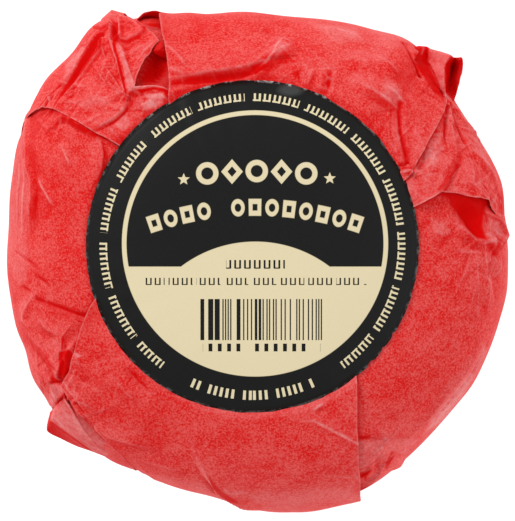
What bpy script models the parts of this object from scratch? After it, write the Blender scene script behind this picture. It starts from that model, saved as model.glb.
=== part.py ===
"""A small flattened ball of cheese, shut in one sheet of waxed red paper and sealed by a round label.

The sheet's middle is underneath. Its four sides are folded up over the crown like a parcel, and
the slack they leave at the corners stands out as ears. The label lies on top and holds the flaps.
Lengths are millimetres until the meshes are made, +Z is up, and angles run from +X towards +Y.
"""
import math
from collections import namedtuple

import bmesh
import bpy
import numpy as np

MM = 0.001

# The flattened ball
WRAP_HEIGHT = 68.0
MIDDLE_HEIGHT = WRAP_HEIGHT / 2
MEAN_RADIUS = 53.0
SIDE_POWER = 3.4
CROWN_POWER = 2.6
FOOT_SINK = 1.0

# The paper label
LABEL_CENTRE = (-1.05, 2.95)
LABEL_RADIUS = 34.1
LABEL_THICKNESS = 0.4
LABEL_GAP = 0.3
LABEL_SIDES = 64
LABEL_RINGS = 5

# The mesh
COLUMNS = 540
ROWS = 230
PROFILE_STEPS = 2000
WRAP_TRIANGLES = 10600
FOOT_SNAP = 0.05

# Finish: linear colours, and the angle past which an edge stays sharp
RED_PAPER = (0.80, 0.07, 0.065)
PAPER_ROUGHNESS = 0.55
LABEL_INK = (0.016, 0.017, 0.016)
LABEL_ROUGHNESS = 0.5
CREASE_ANGLE = 28

# Where the folds fade out
LABEL_FADE = 2.2
FOOT_FADE = (1.5, 9.0)

# Along a fold: the shares of its length between which it has its full height
FULL_FROM = 0.35
FULL_TO = 0.65

Bulge = namedtuple("Bulge", "angle reach width")
Fold = namedtuple("Fold", "height left right start end points")

# How far the slack paper of each side stands outside the mean radius
BULGES = (
    Bulge(20, 1.6, 16),
    Bulge(56, 3.3, 11),
    Bulge(113, 2.2, 5),
    Bulge(122, 5.2, 8),
    Bulge(134, 6.6, 12),
    Bulge(152, 3.6, 10),
    Bulge(190, 0.6, 14),
    Bulge(214, 1.6, 9),
    Bulge(247, -1.9, 13),
    Bulge(287, 1.5, 11),
    Bulge(318, -0.9, 12),
)

# Each fold is a tent along a path: its height, how far it slopes to the left and to the right of
# the path, its share of the height at the start and at the end, and plan points of the path.
# A third number is a height on the ball, for points at and below its widest part.
FREE_EDGES = {
    "top flap, left": Fold(
        1.3, 1.4, 10, 0.6, 0.2,
        [(-18.1, 33.2), (-18, 37.8), (-18.4, 41.9), (-19.3, 45.5), (-20.9, 53, 36), (-20, 49, 16)]),
    "top flap, right": Fold(
        1.4, 9, 1.4, 0.7, 1,
        [(30.8, 17.2), (34.1, 23.3), (37.3, 28.4), (39.2, 33.3)]),
    "right side, upper part": Fold(
        1.1, 6, 1.4, 0.7, 1,
        [(31.7, 10.8), (36.3, 13.3), (39.4, 16.6), (40.1, 17.3)]),
    "right side, pocket lip": Fold(
        1.5, 6, 1.3, 0.6, 0.5,
        [(37.7, 14.1), (41.2, 13.8), (43.3, 13.3), (47.5, 12.2)]),
    "bottom flap, right": Fold(
        2.0, 1.3, 11, 0.3, 0.5,
        [(20.2, -25.1), (20.3, -35.1), (20.8, -42.7), (22.1, -50.5, 34), (21.5, -48, 14)]),
    "bottom flap, left": Fold(
        1.3, 9, 1.4, 0.5, 1,
        [(-33.4, -7.9), (-35.7, -13.4), (-37.2, -19), (-38.2, -22.3), (-40.5, -26.5)]),
    "bottom flap, corner": Fold(
        1.2, 8, 1.4, 1, 0.6,
        [(-39.4, -27.5), (-36.1, -32), (-34.2, -33.5), (-30.8, -37.6), (-28.6, -40.3), (-26.2, -44.5)]),
    "upper left side": Fold(
        1.0, 7, 1.3, 0.3, 0.8,
        [(-40.1, 30.3), (-37.7, 29.1), (-33.5, 26.4), (-30.7, 25), (-28.3, 23.4)]),
    "upper left facet": Fold(
        0.7, 1.3, 5, 0.6, 0.3,
        [(-26.8, 33.2), (-28.4, 30.1), (-30.7, 28.1), (-33.3, 26.9)]),
    "upper left pocket": Fold(
        1.6, 1.2, 5, 0.6, 0.8,
        [(-19.8, 44.9), (-21.8, 43.1), (-24.1, 39), (-25, 35.3)]),
    "upper left pocket, lower lip": Fold(
        0.9, 1.2, 3, 1, 0.5,
        [(-25, 35.3), (-22.5, 35.7), (-19.3, 35.9)]),
}

CREASES = {
    "crest over the label": Fold(
        1.3, 8, 1.6, 0.4, 0.7, [(-15.2, 37.4), (-7.3, 38.4), (-2.4, 39.6), (1.5, 40.4)]),
    "crest, rising part": Fold(
        0.9, 3, 3, 0.6, 0, [(-0.5, 38.2), (2.9, 41.5), (7.3, 44.8)]),
    "top flap, long": Fold(0.6, 3, 3, 0, 0, [(22, 43.6), (26, 41.2), (29.5, 38.1)]),
    "top flap, light": Fold(0.9, 5, 3, 0, 0, [(18.7, 37.3), (24, 34.6), (29.2, 31)]),
    "top flap, furrow": Fold(
        -1.0, 1.6, 3, 0.2, 0.6, [(29.3, 33), (29.3, 26.6), (30.8, 20.9), (31, 18.2)]),
    "upper right, wet valley": Fold(
        -1.6, 1.6, 2.2, 0.7, 0.3, [(33.6, 41.6), (36.4, 38), (38.9, 34.4)]),
    "upper right, facet": Fold(1.0, 2.5, 3, 0.4, 1, [(31, 42.8), (34.6, 43.2), (38.5, 42)]),
    "right fan, first": Fold(-0.8, 1.5, 2, 1, 0, [(39.6, 32.4), (38.7, 29), (38.9, 22.2)]),
    "right fan, second": Fold(0.9, 2, 2, 1, 0, [(40, 32.2), (41.3, 28.4), (43.9, 21.9)]),
    "right fan, third": Fold(-0.9, 1.6, 2, 1, 0, [(40.8, 32), (43, 29.2), (46.6, 25.1)]),
    "right fan, fourth": Fold(0.8, 2.5, 2.5, 0.6, 0, [(41.5, 31.8), (44.7, 22.6), (49.1, 18.1)]),
    "right pocket": Fold(
        -2.6, 3, 6, 0.5, 0.5, [(39.8, 10.5), (43.5, 8.8), (46, 7.4), (45, 5.4)]),
    "right pleat": Fold(
        1.8, 2.2, 2.2, 0.5, 0.2, [(48.2, 11), (50.6, 8), (52, 4.8, 46), (49.5, -3.8)]),
    "right side, ridge": Fold(0.7, 2.5, 3, 0.4, 0, [(47.4, 2.8), (48.2, -5.1), (47.8, -14.5)]),
    "right side, rim": Fold(
        0.9, 3, 4, 0.2, 0.2,
        [(47.5, -17.7), (44, -23.2), (40.1, -27.4), (35.9, -33), (32.1, -36.7)]),
    "lower right, tuck": Fold(0.8, 0.8, 4, 1, 0.2, [(20.9, -36.6), (26, -36.5), (32.1, -36.8)]),
    "lower right, hollow": Fold(-2.0, 2, 3, 1, 0.1, [(22.6, -45.8), (25, -44.2), (28, -41.5)]),
    "lower right, ridge": Fold(1.0, 2, 2, 0.5, 1, [(28.4, -40.6), (26.8, -43.4), (28, -45.5, 36)]),
    "bottom flap, worn": Fold(0.6, 3, 2, 0.3, 1, [(9.5, -32.7), (14.7, -34.2), (20, -37)]),
    "bottom flap, turned": Fold(
        1.0, 6, 1.4, 0.2, 1, [(-13.3, -38.2), (-10.3, -43.7), (-8.2, -47.2), (-3.4, -51, 40)]),
    "left corner, crossing": Fold(0.9, 3, 3, 0.6, 0, [(-40.8, -24.8), (-43.7, -25.8), (-48, -21.1)]),
    "left side, lower ridge": Fold(0.9, 3, 3, 0.2, 1, [(-48.2, -15.2), (-44.5, -19.5), (-41.4, -23.8)]),
    "left side, zigzag": Fold(
        0.9, 2, 2, 0.3, 1, [(-38.5, -13.4), (-40.6, -16.2), (-40.7, -18.8), (-40.9, -21.6), (-41.2, -24)]),
    "left side, band": Fold(0.5, 1.2, 1.2, 1, 1, [(-46.8, -7.2), (-35, -11.6)]),
    "left side, corner": Fold(0.8, 3, 3, 0.2, 0.2, [(-46.8, -7.2), (-49.4, -12), (-48.2, -15.2)]),
    "left side, rim": Fold(
        0.8, 2.5, 4, 0.5, 0.1, [(-45.5, 34), (-48.4, 27.2), (-48.4, 20.6), (-47.3, 12.4), (-48.2, 6.3)]),
    "left side, bow": Fold(
        0.8, 4, 1.4, 0.3, 0.2,
        [(-33.1, 16.6), (-31.7, 21.1), (-33.8, 26.2), (-38.6, 29.1), (-42.4, 28.1)]),
    "upper left, valley": Fold(
        -2.4, 2.2, 2.0, 1, 0.1, [(-32.2, 47.5), (-34, 43.6), (-37.5, 38.3), (-42, 31.9)]),
    "upper left, rim": Fold(
        1.2, 2.4, 2.4, 0.6, 0.1, [(-34.5, 47.8), (-38.5, 41.8), (-42, 37), (-44.5, 32.5)]),
    "upper left, slot": Fold(-1.8, 1.2, 1.4, 1, 0.2, [(-30, 51, 40), (-29.4, 48.5), (-29.6, 45.8)]),
    "upper left, strip": Fold(
        1.0, 1.6, 1.4, 1, 0.2, [(-30.4, 46.4), (-29.2, 42.5), (-28.2, 38), (-26.9, 33.2)]),
    "upper left, short": Fold(0.7, 2, 2, 0.2, 0.6, [(-31.6, 40.5), (-29.7, 38), (-27.7, 35.2)]),
    "upper left, cross": Fold(0.8, 2, 2, 1, 0.4, [(-30.1, 45.7), (-25.7, 46), (-23.1, 47.4)]),
    "upper left, upper": Fold(0.9, 1.8, 1.8, 1, 0.3, [(-29, 51, 40), (-26.2, 49.2), (-23.2, 48.2)]),
    "upper left, mouth": Fold(-1.8, 1.4, 2.2, 0.4, 1, [(-25.4, 49.6), (-22.6, 50.3), (-20.6, 51, 40)]),
    "upper left, hollow": Fold(-2.2, 2.2, 2.2, 0.5, 0.4, [(-20.4, 43), (-20.9, 40), (-22.6, 37.4)]),
    "upper left, under the lip": Fold(0.7, 2, 2, 0, 0.4, [(-23.3, 34.6), (-21.8, 33.6), (-20, 32.4)]),
}

# Gussets: the same folds where they run on down each corner, and soft pulls towards the foot
GUSSET_ANGLES = (36, 47, 62, 112, 121, 133, 150, 207, 219, 231, 292, 303)
GUSSET_HEIGHT = 1.1
GUSSET_WIDTH = 4.0
GUSSET_TOP = 42.0
GUSSET_BOTTOM = 9.0
GUSSET_LEAN = 5.0

# Slack paper that stands out from the ball, as rows of places from one end of each ear to the other.
# A row runs from the crown's side out over the ear and down to the ball again.
EARS = {
    "upper right, open": (
        [(30.5, 41, 24), (32.5, 40.2, 20), (34, 39, 18), (35.2, 38, 17), (36, 37.2, 16), (36.3, 36.6, 15),
         (36.2, 36.4, 14)],
        [(31.9, 45.2, 46), (35.5, 45.1, 44), (40.0, 43.6, 45), (40.6, 42.4, 41), (42.4, 42.7, 44),
         (41.7, 42, 30), (36.4, 36.4, 15)],
        [(32.5, 41.9, 51), (35.7, 42.3, 45), (39.3, 40.8, 48.5), (41.1, 40.9, 37), (43.3, 41.5, 46),
         (42.7, 40.6, 30), (37.4, 35.4, 15)],
        [(34.1, 38.2, 53.5), (37.2, 39.1, 48), (39, 38.6, 50.5), (40.6, 38.4, 38), (42.8, 38.8, 46.5),
         (42.6, 37.7, 30), (38.7, 34, 16)],
        [(36.4, 35, 53.2), (38.4, 35.9, 49.8), (38.9, 36.1, 51), (40.2, 35.9, 42), (41.9, 35.8, 47),
         (42, 35, 32), (39.7, 32.8, 18)],
        [(38.3, 33.2, 51.6), (38.9, 34.1, 50.6), (39.1, 34.4, 51), (40.2, 34, 49.5), (41.3, 33.4, 47.5),
         (41.5, 33, 40), (40.3, 32, 24)],
        [(37.8, 31.2, 49), (38.2, 31.6, 48.5), (38.5, 31.9, 48), (39.2, 31.8, 47), (39.9, 31.6, 45),
         (40.2, 31.4, 40), (40, 31.2, 32)],
    ),
    "lower left, folded": (
        [(-40.2, -28.6, 55), (-41.7, -30, 51), (-43, -31.3, 46), (-43.9, -32.1, 42), (-42.4, -30.5, 30)],
        [(-39.3, -29.8, 55), (-41.3, -31.7, 50.5), (-43.5, -33.7, 44.5), (-44.7, -36.1, 40),
         (-40.3, -33.7, 24)],
        [(-38, -32.3, 54.2), (-39.9, -34.2, 49.5), (-41.4, -35.5, 45), (-41.6, -38, 38.5),
         (-38.2, -36.1, 24)],
        [(-36.2, -35.6, 52), (-37.6, -37, 48), (-38.4, -38.1, 44.5), (-38.5, -39.6, 37),
         (-35.5, -37.6, 24)],
        [(-34.6, -37.5, 50.3), (-35.2, -38.5, 47.5), (-35.4, -40, 44), (-35.5, -40.7, 36),
         (-33.2, -39.4, 24)],
        [(-31, -39.2, 47.5), (-31.4, -39.8, 46), (-31.7, -40.4, 43), (-31.8, -40.9, 36), (-30.4, -40, 24)],
    ),
    "top, curled": (
        [(-25.9, 49.3, 50), (-25.5, 50.4, 46), (-25.6, 50.5, 45), (-25.6, 50.6, 28)],
        [(-24.3, 48.8, 51.5), (-24.2, 51, 43), (-23.9, 51.9, 47), (-24, 51, 26)],
        [(-23, 48, 53), (-22.7, 51, 43), (-22, 52.4, 47.5), (-22.4, 51.1, 26)],
        [(-20.7, 46.6, 55), (-21.2, 50.8, 44), (-20.6, 52.2, 47.5), (-20.7, 51, 26)],
        [(-18.2, 45, 54), (-18.5, 49.5, 48), (-18.6, 51, 45), (-18.6, 50.4, 26)],
    ),
    "upper left, peak": (
        [(-33.2, 47, 50), (-30.8, 48.6, 50.5), (-28, 49, 50)],
        [(-33.6, 51.3, 42), (-31.2, 53.3, 43), (-28.4, 52.4, 43)],
        [(-32.6, 52.4, 33), (-30.9, 53.3, 34), (-28.2, 52.9, 34)],
        [(-30.6, 49.8, 20), (-29.2, 50.6, 20), (-27, 50.8, 20)],
    ),
}
EAR_ROOT_SHARE = 0.78
EAR_ROOT_HEIGHT = 38.0


def outline_radius(angle):
    """Widest radius of the wrap at an angle in degrees."""
    radius = np.full_like(np.asarray(angle, dtype=float), MEAN_RADIUS)
    for bulge in BULGES:
        turn = (angle - bulge.angle + 180) % 360 - 180
        radius = radius + bulge.reach * np.exp(-(turn / bulge.width) ** 2)
    return radius


def height_at(share):
    """Height above the middle, at a share of the local radius from the axis."""
    return (1 - np.clip(share, 0, 1) ** SIDE_POWER) ** (1 / CROWN_POWER)


def meridian():
    """Share of radius and height along one line from crown to foot, at even spacing."""
    quarter = np.linspace(0, 1, PROFILE_STEPS)
    share = np.sin(quarter * math.pi / 2)
    rise = height_at(share)
    upper = MIDDLE_HEIGHT * (1 + rise)
    lower = MIDDLE_HEIGHT - (MIDDLE_HEIGHT + FOOT_SINK) * rise
    shares = np.concatenate([share, share[-2::-1]])
    heights = np.concatenate([upper, lower[-2::-1]])
    heights = np.maximum(heights, 0)
    steps = np.hypot(np.diff(shares * MEAN_RADIUS), np.diff(heights))
    length = np.concatenate([[0], np.cumsum(steps)])
    return shares, heights, length


def surface_normals(angle, share, height):
    """Outward direction of the plain ball, from the slopes of its profile's equation."""
    rise = (height - MIDDLE_HEIGHT) / MIDDLE_HEIGHT
    outward = SIDE_POWER * share ** (SIDE_POWER - 1) / outline_radius(angle)
    upward = CROWN_POWER * np.abs(rise) ** (CROWN_POWER - 1) * np.sign(rise) / MIDDLE_HEIGHT
    turn = np.radians(angle)
    normals = np.stack([outward * np.cos(turn), outward * np.sin(turn), upward], axis=-1)
    size = np.linalg.norm(normals, axis=-1, keepdims=True)
    return normals / np.maximum(size, 1e-9)


def on_wrap(x, y, z=None):
    """The place on the plain ball over a plan point, or at a height where one is given."""
    angle = math.degrees(math.atan2(y, x)) % 360
    radius = float(outline_radius(angle))
    if z is None:
        share = min(math.hypot(x, y) / radius, 1.0)
        height = MIDDLE_HEIGHT * (1 + float(height_at(share)))
    else:
        half = MIDDLE_HEIGHT if z > MIDDLE_HEIGHT else MIDDLE_HEIGHT + FOOT_SINK
        share = (1 - (abs(z - MIDDLE_HEIGHT) / half) ** CROWN_POWER) ** (1 / SIDE_POWER)
        height = z
    turn = math.radians(angle)
    return np.array([share * radius * math.cos(turn), share * radius * math.sin(turn), height])


def fold_relief(points, normals, fold):
    """Height that one fold adds at each point of the surface."""
    path = [on_wrap(*place) for place in fold.points]
    spans = list(zip(path, path[1:]))
    lengths = [float(np.linalg.norm(b - a)) for a, b in spans]
    nearest = np.full(len(points), np.inf)
    side = np.zeros(len(points))
    along = np.zeros(len(points))
    travelled = 0.0
    for (a, b), length in zip(spans, lengths):
        direction = (b - a) / length
        reach = np.clip((points - a) @ direction, 0, length)
        distance = np.linalg.norm(points - a - reach[:, None] * direction, axis=1)
        lean = np.einsum("ij,ij->i", np.cross(direction, points - a), normals)
        tied = np.abs(distance - nearest) <= 1e-6
        closer = (distance < nearest - 1e-6) | (tied & (np.abs(lean) > np.abs(side)))
        nearest = np.where(closer, distance, nearest)
        side = np.where(closer, lean, side)
        along = np.where(closer, (travelled + reach) / sum(lengths), along)
        travelled += length
    share = np.interp(along, [0, FULL_FROM, FULL_TO, 1], [fold.start, 1, 1, fold.end])
    width = np.where(side > 0, fold.left, fold.right)
    return fold.height * share * np.clip(1 - nearest / width, 0, None)


def gussets():
    """Soft pleats that run on down the sides below each corner, leaning in turn to and fro."""
    for index, angle in enumerate(GUSSET_ANGLES):
        lean = GUSSET_LEAN if index % 2 else -GUSSET_LEAN
        sign = -1 if index % 3 == 1 else 1
        places = []
        for share in (0, 0.5, 1):
            turn = math.radians(angle + lean * share)
            height = GUSSET_TOP + (GUSSET_BOTTOM - GUSSET_TOP) * share
            places.append((math.cos(turn), math.sin(turn), height))
        yield Fold(sign * GUSSET_HEIGHT, GUSSET_WIDTH, GUSSET_WIDTH, 0.2, 0.1, places)


def smooth_step(value, low, high):
    """Zero below low, one above high, and a soft curve between."""
    share = np.clip((value - low) / (high - low), 0, 1)
    return share * share * (3 - 2 * share)


def relief(points, normals):
    """Height of all the folds together, gone under the label and at the foot."""
    total = np.zeros(len(points))
    for fold in [*FREE_EDGES.values(), *CREASES.values(), *gussets()]:
        total += fold_relief(points, normals, fold)
    from_label = np.hypot(points[:, 0] - LABEL_CENTRE[0], points[:, 1] - LABEL_CENTRE[1])
    under = points[:, 2] < MIDDLE_HEIGHT
    clear = np.where(under, 1.0, smooth_step(from_label, LABEL_RADIUS, LABEL_RADIUS + LABEL_FADE))
    return total * clear * smooth_step(points[:, 2], *FOOT_FADE)


def closed_rings(rings):
    """Faces that join rings of equal length, and close both ends on a last point each."""
    count = len(rings[0])
    points = [place for ring in rings for place in ring]
    faces = []
    for row in range(len(rings) - 1):
        for column in range(count):
            after = (column + 1) % count
            low = row * count
            high = low + count
            faces.append((low + column, high + column, high + after, low + after))
    return points, faces


def add_object(name, points, faces):
    """A mesh object from millimetre points, with its faces turned outwards."""
    mesh = bpy.data.meshes.new(name)
    mesh.from_pydata([tuple(float(number) * MM for number in place) for place in points], [], faces)
    shape = bmesh.new()
    shape.from_mesh(mesh)
    bmesh.ops.recalc_face_normals(shape, faces=shape.faces)
    bmesh.ops.triangulate(shape, faces=shape.faces)
    shape.to_mesh(mesh)
    shape.free()
    piece = bpy.data.objects.new(name, mesh)
    bpy.context.scene.collection.objects.link(piece)
    return piece


def apply_modifier(piece, kind, **settings):
    """Adds one modifier and makes its result the mesh."""
    modifier = piece.modifiers.new(kind.title(), kind)
    for name, value in settings.items():
        setattr(modifier, name, value)
    bpy.ops.object.select_all(action="DESELECT")
    bpy.context.view_layer.objects.active = piece
    piece.select_set(True)
    bpy.ops.object.modifier_apply(modifier=modifier.name)


def wrapped_ball():
    """The wrapped ball with all of its folds, thinned so that flat paper has large faces."""
    shares, heights, length = meridian()
    marks = np.linspace(0, length[-1], ROWS + 2)[1:-1]
    row_share = np.interp(marks, length, shares)
    row_height = np.interp(marks, length, heights)
    angles = np.arange(COLUMNS) * 360 / COLUMNS
    angle = np.tile(angles, ROWS)
    share = np.repeat(row_share, COLUMNS)
    height = np.repeat(row_height, COLUMNS)
    radius = share * outline_radius(angle)
    turn = np.radians(angle)
    points = np.stack([radius * np.cos(turn), radius * np.sin(turn), height], axis=-1)
    normals = surface_normals(angle, share, height)
    points = points + normals * relief(points, normals)[:, None]
    points[:, 2] = np.maximum(points[:, 2], 0)
    rings = points.reshape(ROWS, COLUMNS, 3)
    places, faces = closed_rings(list(rings))
    crown = len(places)
    foot = crown + 1
    places += [(0, 0, WRAP_HEIGHT), (0, 0, 0)]
    last = (ROWS - 1) * COLUMNS
    for column in range(COLUMNS):
        after = (column + 1) % COLUMNS
        faces.append((crown, column, after))
        faces.append((foot, last + after, last + column))
    ball = add_object("paper_wrap", places, faces)
    apply_modifier(ball, "DECIMATE", ratio=WRAP_TRIANGLES / len(ball.data.polygons))
    return ball


def rooted(rows):
    """An ear's rows closed into rings, each on a root deep inside the ball."""
    rings = []
    for row in rows:
        middle_x = sum(place[0] for place in row) / len(row)
        middle_y = sum(place[1] for place in row) / len(row)
        rings.append([*row, (middle_x * EAR_ROOT_SHARE, middle_y * EAR_ROOT_SHARE, EAR_ROOT_HEIGHT)])
    return rings


def capped(rings):
    """A lofted solid with both of its end rings filled."""
    points, faces = closed_rings(rings)
    count = len(rings[0])
    last = (len(rings) - 1) * count
    faces.append(tuple(range(count)))
    faces.append(tuple(last + place for place in reversed(range(count))))
    return points, faces


def add_ears(ball):
    """Joins the ears to the ball in one step."""
    group = bpy.data.collections.new("ears")
    bpy.context.scene.collection.children.link(group)
    for name, rows in EARS.items():
        ear = add_object(name, *capped(rooted(rows)))
        bpy.context.scene.collection.objects.unlink(ear)
        group.objects.link(ear)
    apply_modifier(ball, "BOOLEAN", operation="UNION", operand_type="COLLECTION",
                   collection=group, solver="EXACT")
    for ear in list(group.objects):
        bpy.data.objects.remove(ear)
    bpy.data.collections.remove(group)


def round_label():
    """The paper disc, which follows the crown a small gap above it."""
    rings = []
    for face_height, shares in ((LABEL_GAP, range(1, LABEL_RINGS + 1)),
                                (LABEL_GAP + LABEL_THICKNESS, range(LABEL_RINGS, 0, -1))):
        for number in shares:
            radius = LABEL_RADIUS * number / LABEL_RINGS
            ring = []
            for side in range(LABEL_SIDES):
                turn = math.tau * side / LABEL_SIDES
                x = LABEL_CENTRE[0] + radius * math.cos(turn)
                y = LABEL_CENTRE[1] + radius * math.sin(turn)
                ring.append((x, y, on_wrap(x, y)[2] + face_height))
            rings.append(ring)
    points, faces = closed_rings(rings)
    low = len(points)
    crown = on_wrap(*LABEL_CENTRE)[2]
    points += [(*LABEL_CENTRE, crown + LABEL_GAP), (*LABEL_CENTRE, crown + LABEL_GAP + LABEL_THICKNESS)]
    last = (len(rings) - 1) * LABEL_SIDES
    for side in range(LABEL_SIDES):
        after = (side + 1) % LABEL_SIDES
        faces.append((low, side, after))
        faces.append((low + 1, last + after, last + side))
    return add_object("label", points, faces)


def finish(piece, name, colour, roughness):
    """Gives a piece its own paper finish and smooth shading between its creases."""
    material = bpy.data.materials.new(name)
    material.use_nodes = True
    shader = material.node_tree.nodes["Principled BSDF"]
    shader.inputs["Base Color"].default_value = (*colour, 1)
    shader.inputs["Roughness"].default_value = roughness
    shader.inputs["Metallic"].default_value = 0.0
    piece.data.materials.clear()
    piece.data.materials.append(material)
    piece.data.shade_smooth()
    piece.data.set_sharp_from_angle(angle=math.radians(CREASE_ANGLE))


def settle(pieces):
    """Puts the middle of the whole thing over the origin, with its foot flat at height zero."""
    places = [vertex.co for piece in pieces for vertex in piece.data.vertices]
    middle_x = (min(place.x for place in places) + max(place.x for place in places)) / 2
    middle_y = (min(place.y for place in places) + max(place.y for place in places)) / 2
    for place in places:
        place.x -= middle_x
        place.y -= middle_y
        if abs(place.z) < FOOT_SNAP * MM:
            place.z = 0.0


def main():
    for item in list(bpy.data.objects):
        bpy.data.objects.remove(item)
    ball = wrapped_ball()
    add_ears(ball)
    label = round_label()
    settle((ball, label))
    finish(ball, "red_paper", RED_PAPER, PAPER_ROUGHNESS)
    finish(label, "label_print", LABEL_INK, LABEL_ROUGHNESS)


main()
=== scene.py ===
"""Looks of a small ball of cheese shut in red waxed paper, with a round label on its crown.

Lengths are millimetres until the meshes are made. The sheet is laid out on a flat map: the distance
of a place from the map's middle is its distance from the crown along the ball's surface.
"""
import math
from collections import namedtuple

import bpy
import numpy as np
from bpy.props import FloatProperty, FloatVectorProperty, IntProperty, PointerProperty
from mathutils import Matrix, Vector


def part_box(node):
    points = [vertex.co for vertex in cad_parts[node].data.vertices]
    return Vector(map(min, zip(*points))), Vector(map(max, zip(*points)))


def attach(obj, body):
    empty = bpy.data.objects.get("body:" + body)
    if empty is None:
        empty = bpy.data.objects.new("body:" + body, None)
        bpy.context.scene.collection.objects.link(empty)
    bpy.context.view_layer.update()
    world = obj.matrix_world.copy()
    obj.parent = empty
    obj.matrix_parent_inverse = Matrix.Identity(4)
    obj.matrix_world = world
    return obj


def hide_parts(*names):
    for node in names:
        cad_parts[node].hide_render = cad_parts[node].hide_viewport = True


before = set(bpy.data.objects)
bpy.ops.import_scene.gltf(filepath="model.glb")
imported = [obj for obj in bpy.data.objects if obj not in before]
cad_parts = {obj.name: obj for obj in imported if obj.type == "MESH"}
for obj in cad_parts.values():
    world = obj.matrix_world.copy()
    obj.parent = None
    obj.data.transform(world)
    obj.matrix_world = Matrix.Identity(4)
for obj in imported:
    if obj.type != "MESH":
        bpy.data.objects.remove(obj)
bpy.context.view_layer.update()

bl_info = {
    "name": "Paper-wrapped cheese",
    "version": (1, 0, 0),
    "blender": (4, 5, 0),
    "location": "View3D > Sidebar > Cheese",
    "description": "Makes a ball of cheese in folded red paper with a round label",
    "category": "Add Mesh",
}

MM = 0.001
TINY = 1e-6
NO_LENGTH = 1e-9
PAPER_FINISH = "waxed_tissue"
LABEL_FINISH = "printed_label"

# The ball, as the solid has it
WRAP_HEIGHT = 68.0
MIDDLE_HEIGHT = WRAP_HEIGHT / 2
MEAN_RADIUS = 53.0
SIDE_POWER = 3.4
CROWN_POWER = 2.6
FOOT_SINK = 1.0
LABEL_CENTRE = (-1.05, 2.95)
LABEL_RADIUS = 34.1
PROFILE_STEPS = 2000

# The photograph's frame, in pixels, and the camera over its middle
PHOTO_WIDE = 515
PHOTO_HIGH = 521
FOCAL_PIXELS = 3430.0
CAMERA_HEIGHT = 768.0
SENSOR = 36.0

# The solid is centred on its box, so its label tells how far the ball's axis lies from the origin
LABEL_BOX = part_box("label")
SHIFT_X = (LABEL_BOX[0].x + LABEL_BOX[1].x) / 2 / MM - LABEL_CENTRE[0]
SHIFT_Y = (LABEL_BOX[0].y + LABEL_BOX[1].y) / 2 / MM - LABEL_CENTRE[1]

Bulge = namedtuple("Bulge", "angle reach width")
Fold = namedtuple("Fold", "height left right start end worn points")
# A patch of painted shade, deeper red, by its corners in pixels; with a strength below zero, a patch of
# painted sheen
Hollow = namedtuple("Hollow", "strength softness corners")
Sheet = namedtuple("Sheet", "name lift curl seed columns rows left_edge right_edge folds hollows above")
Ear = namedtuple("Ear", "name seed across along creases hollows net")
Zone = namedtuple("Zone", "x y reach strength")

BULGES = (
    Bulge(20, 1.6, 16),
    Bulge(56, 3.3, 11),
    Bulge(113, 2.2, 5),
    Bulge(122, 5.2, 8),
    Bulge(134, 6.6, 12),
    Bulge(152, 3.6, 10),
    Bulge(190, 0.6, 14),
    Bulge(214, 1.6, 9),
    Bulge(247, -1.9, 13),
    Bulge(287, 1.5, 11),
    Bulge(318, -0.9, 12),
)
# How much closer to its middle the dressed ball stands than the solid, to leave room for the sheets
TRIMS = (
    Bulge(10, -0.8, 5),
    Bulge(28, -0.6, 8),
    Bulge(49, -0.6, 3),
    Bulge(62, -0.7, 5),
    Bulge(84, -1.2, 9),
    Bulge(106, 1.2, 4),
    Bulge(117, -0.7, 1.6),
    Bulge(122, -0.4, 5),
    Bulge(132, -1.7, 6),
    Bulge(150, -0.5, 4),
    Bulge(165, 0.75, 6),
    Bulge(190, -0.5, 7),
    Bulge(201, -0.6, 4),
    Bulge(213, -0.9, 4),
    Bulge(234, 0.5, 5),
    Bulge(260, -1.4, 8),
    Bulge(288, -1.0, 7),
    Bulge(330, 0.3, 5),
    Bulge(353, 0.4, 5),
)
# How high the paper that shows stands over the plain ball
PAPER_LIFT = 0.7


def outline_radius(angle):
    """Widest radius of the wrap at an angle in degrees."""
    radius = np.full_like(np.asarray(angle, dtype=float), MEAN_RADIUS)
    for bulge in BULGES + TRIMS:
        turn = (angle - bulge.angle + 180) % 360 - 180
        radius = radius + bulge.reach * np.exp(-(turn / bulge.width) ** 2)
    return radius


def height_at(share):
    """Height above the middle, at a share of the local radius from the axis."""
    return (1 - np.clip(share, 0, 1) ** SIDE_POWER) ** (1 / CROWN_POWER)


def meridian():
    """Share of radius, height and length along one line from crown to foot."""
    quarter = np.linspace(0, 1, PROFILE_STEPS)
    share = np.sin(quarter * math.pi / 2)
    rise = height_at(share)
    upper = MIDDLE_HEIGHT * (1 + rise)
    lower = MIDDLE_HEIGHT - (MIDDLE_HEIGHT + FOOT_SINK) * rise
    shares = np.concatenate([share, share[-2::-1]])
    heights = np.maximum(np.concatenate([upper, lower[-2::-1]]), 0)
    steps = np.hypot(np.diff(shares * MEAN_RADIUS), np.diff(heights))
    return shares, heights, np.concatenate([[0], np.cumsum(steps)])


SHARES, HEIGHTS, LENGTHS = meridian()
WIDEST = PROFILE_STEPS


def smooth_step(value, low, high):
    """Zero below low, one above high, and a soft curve between them."""
    share = np.clip((value - low) / (high - low), 0, 1)
    return share * share * (3 - 2 * share)


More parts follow.
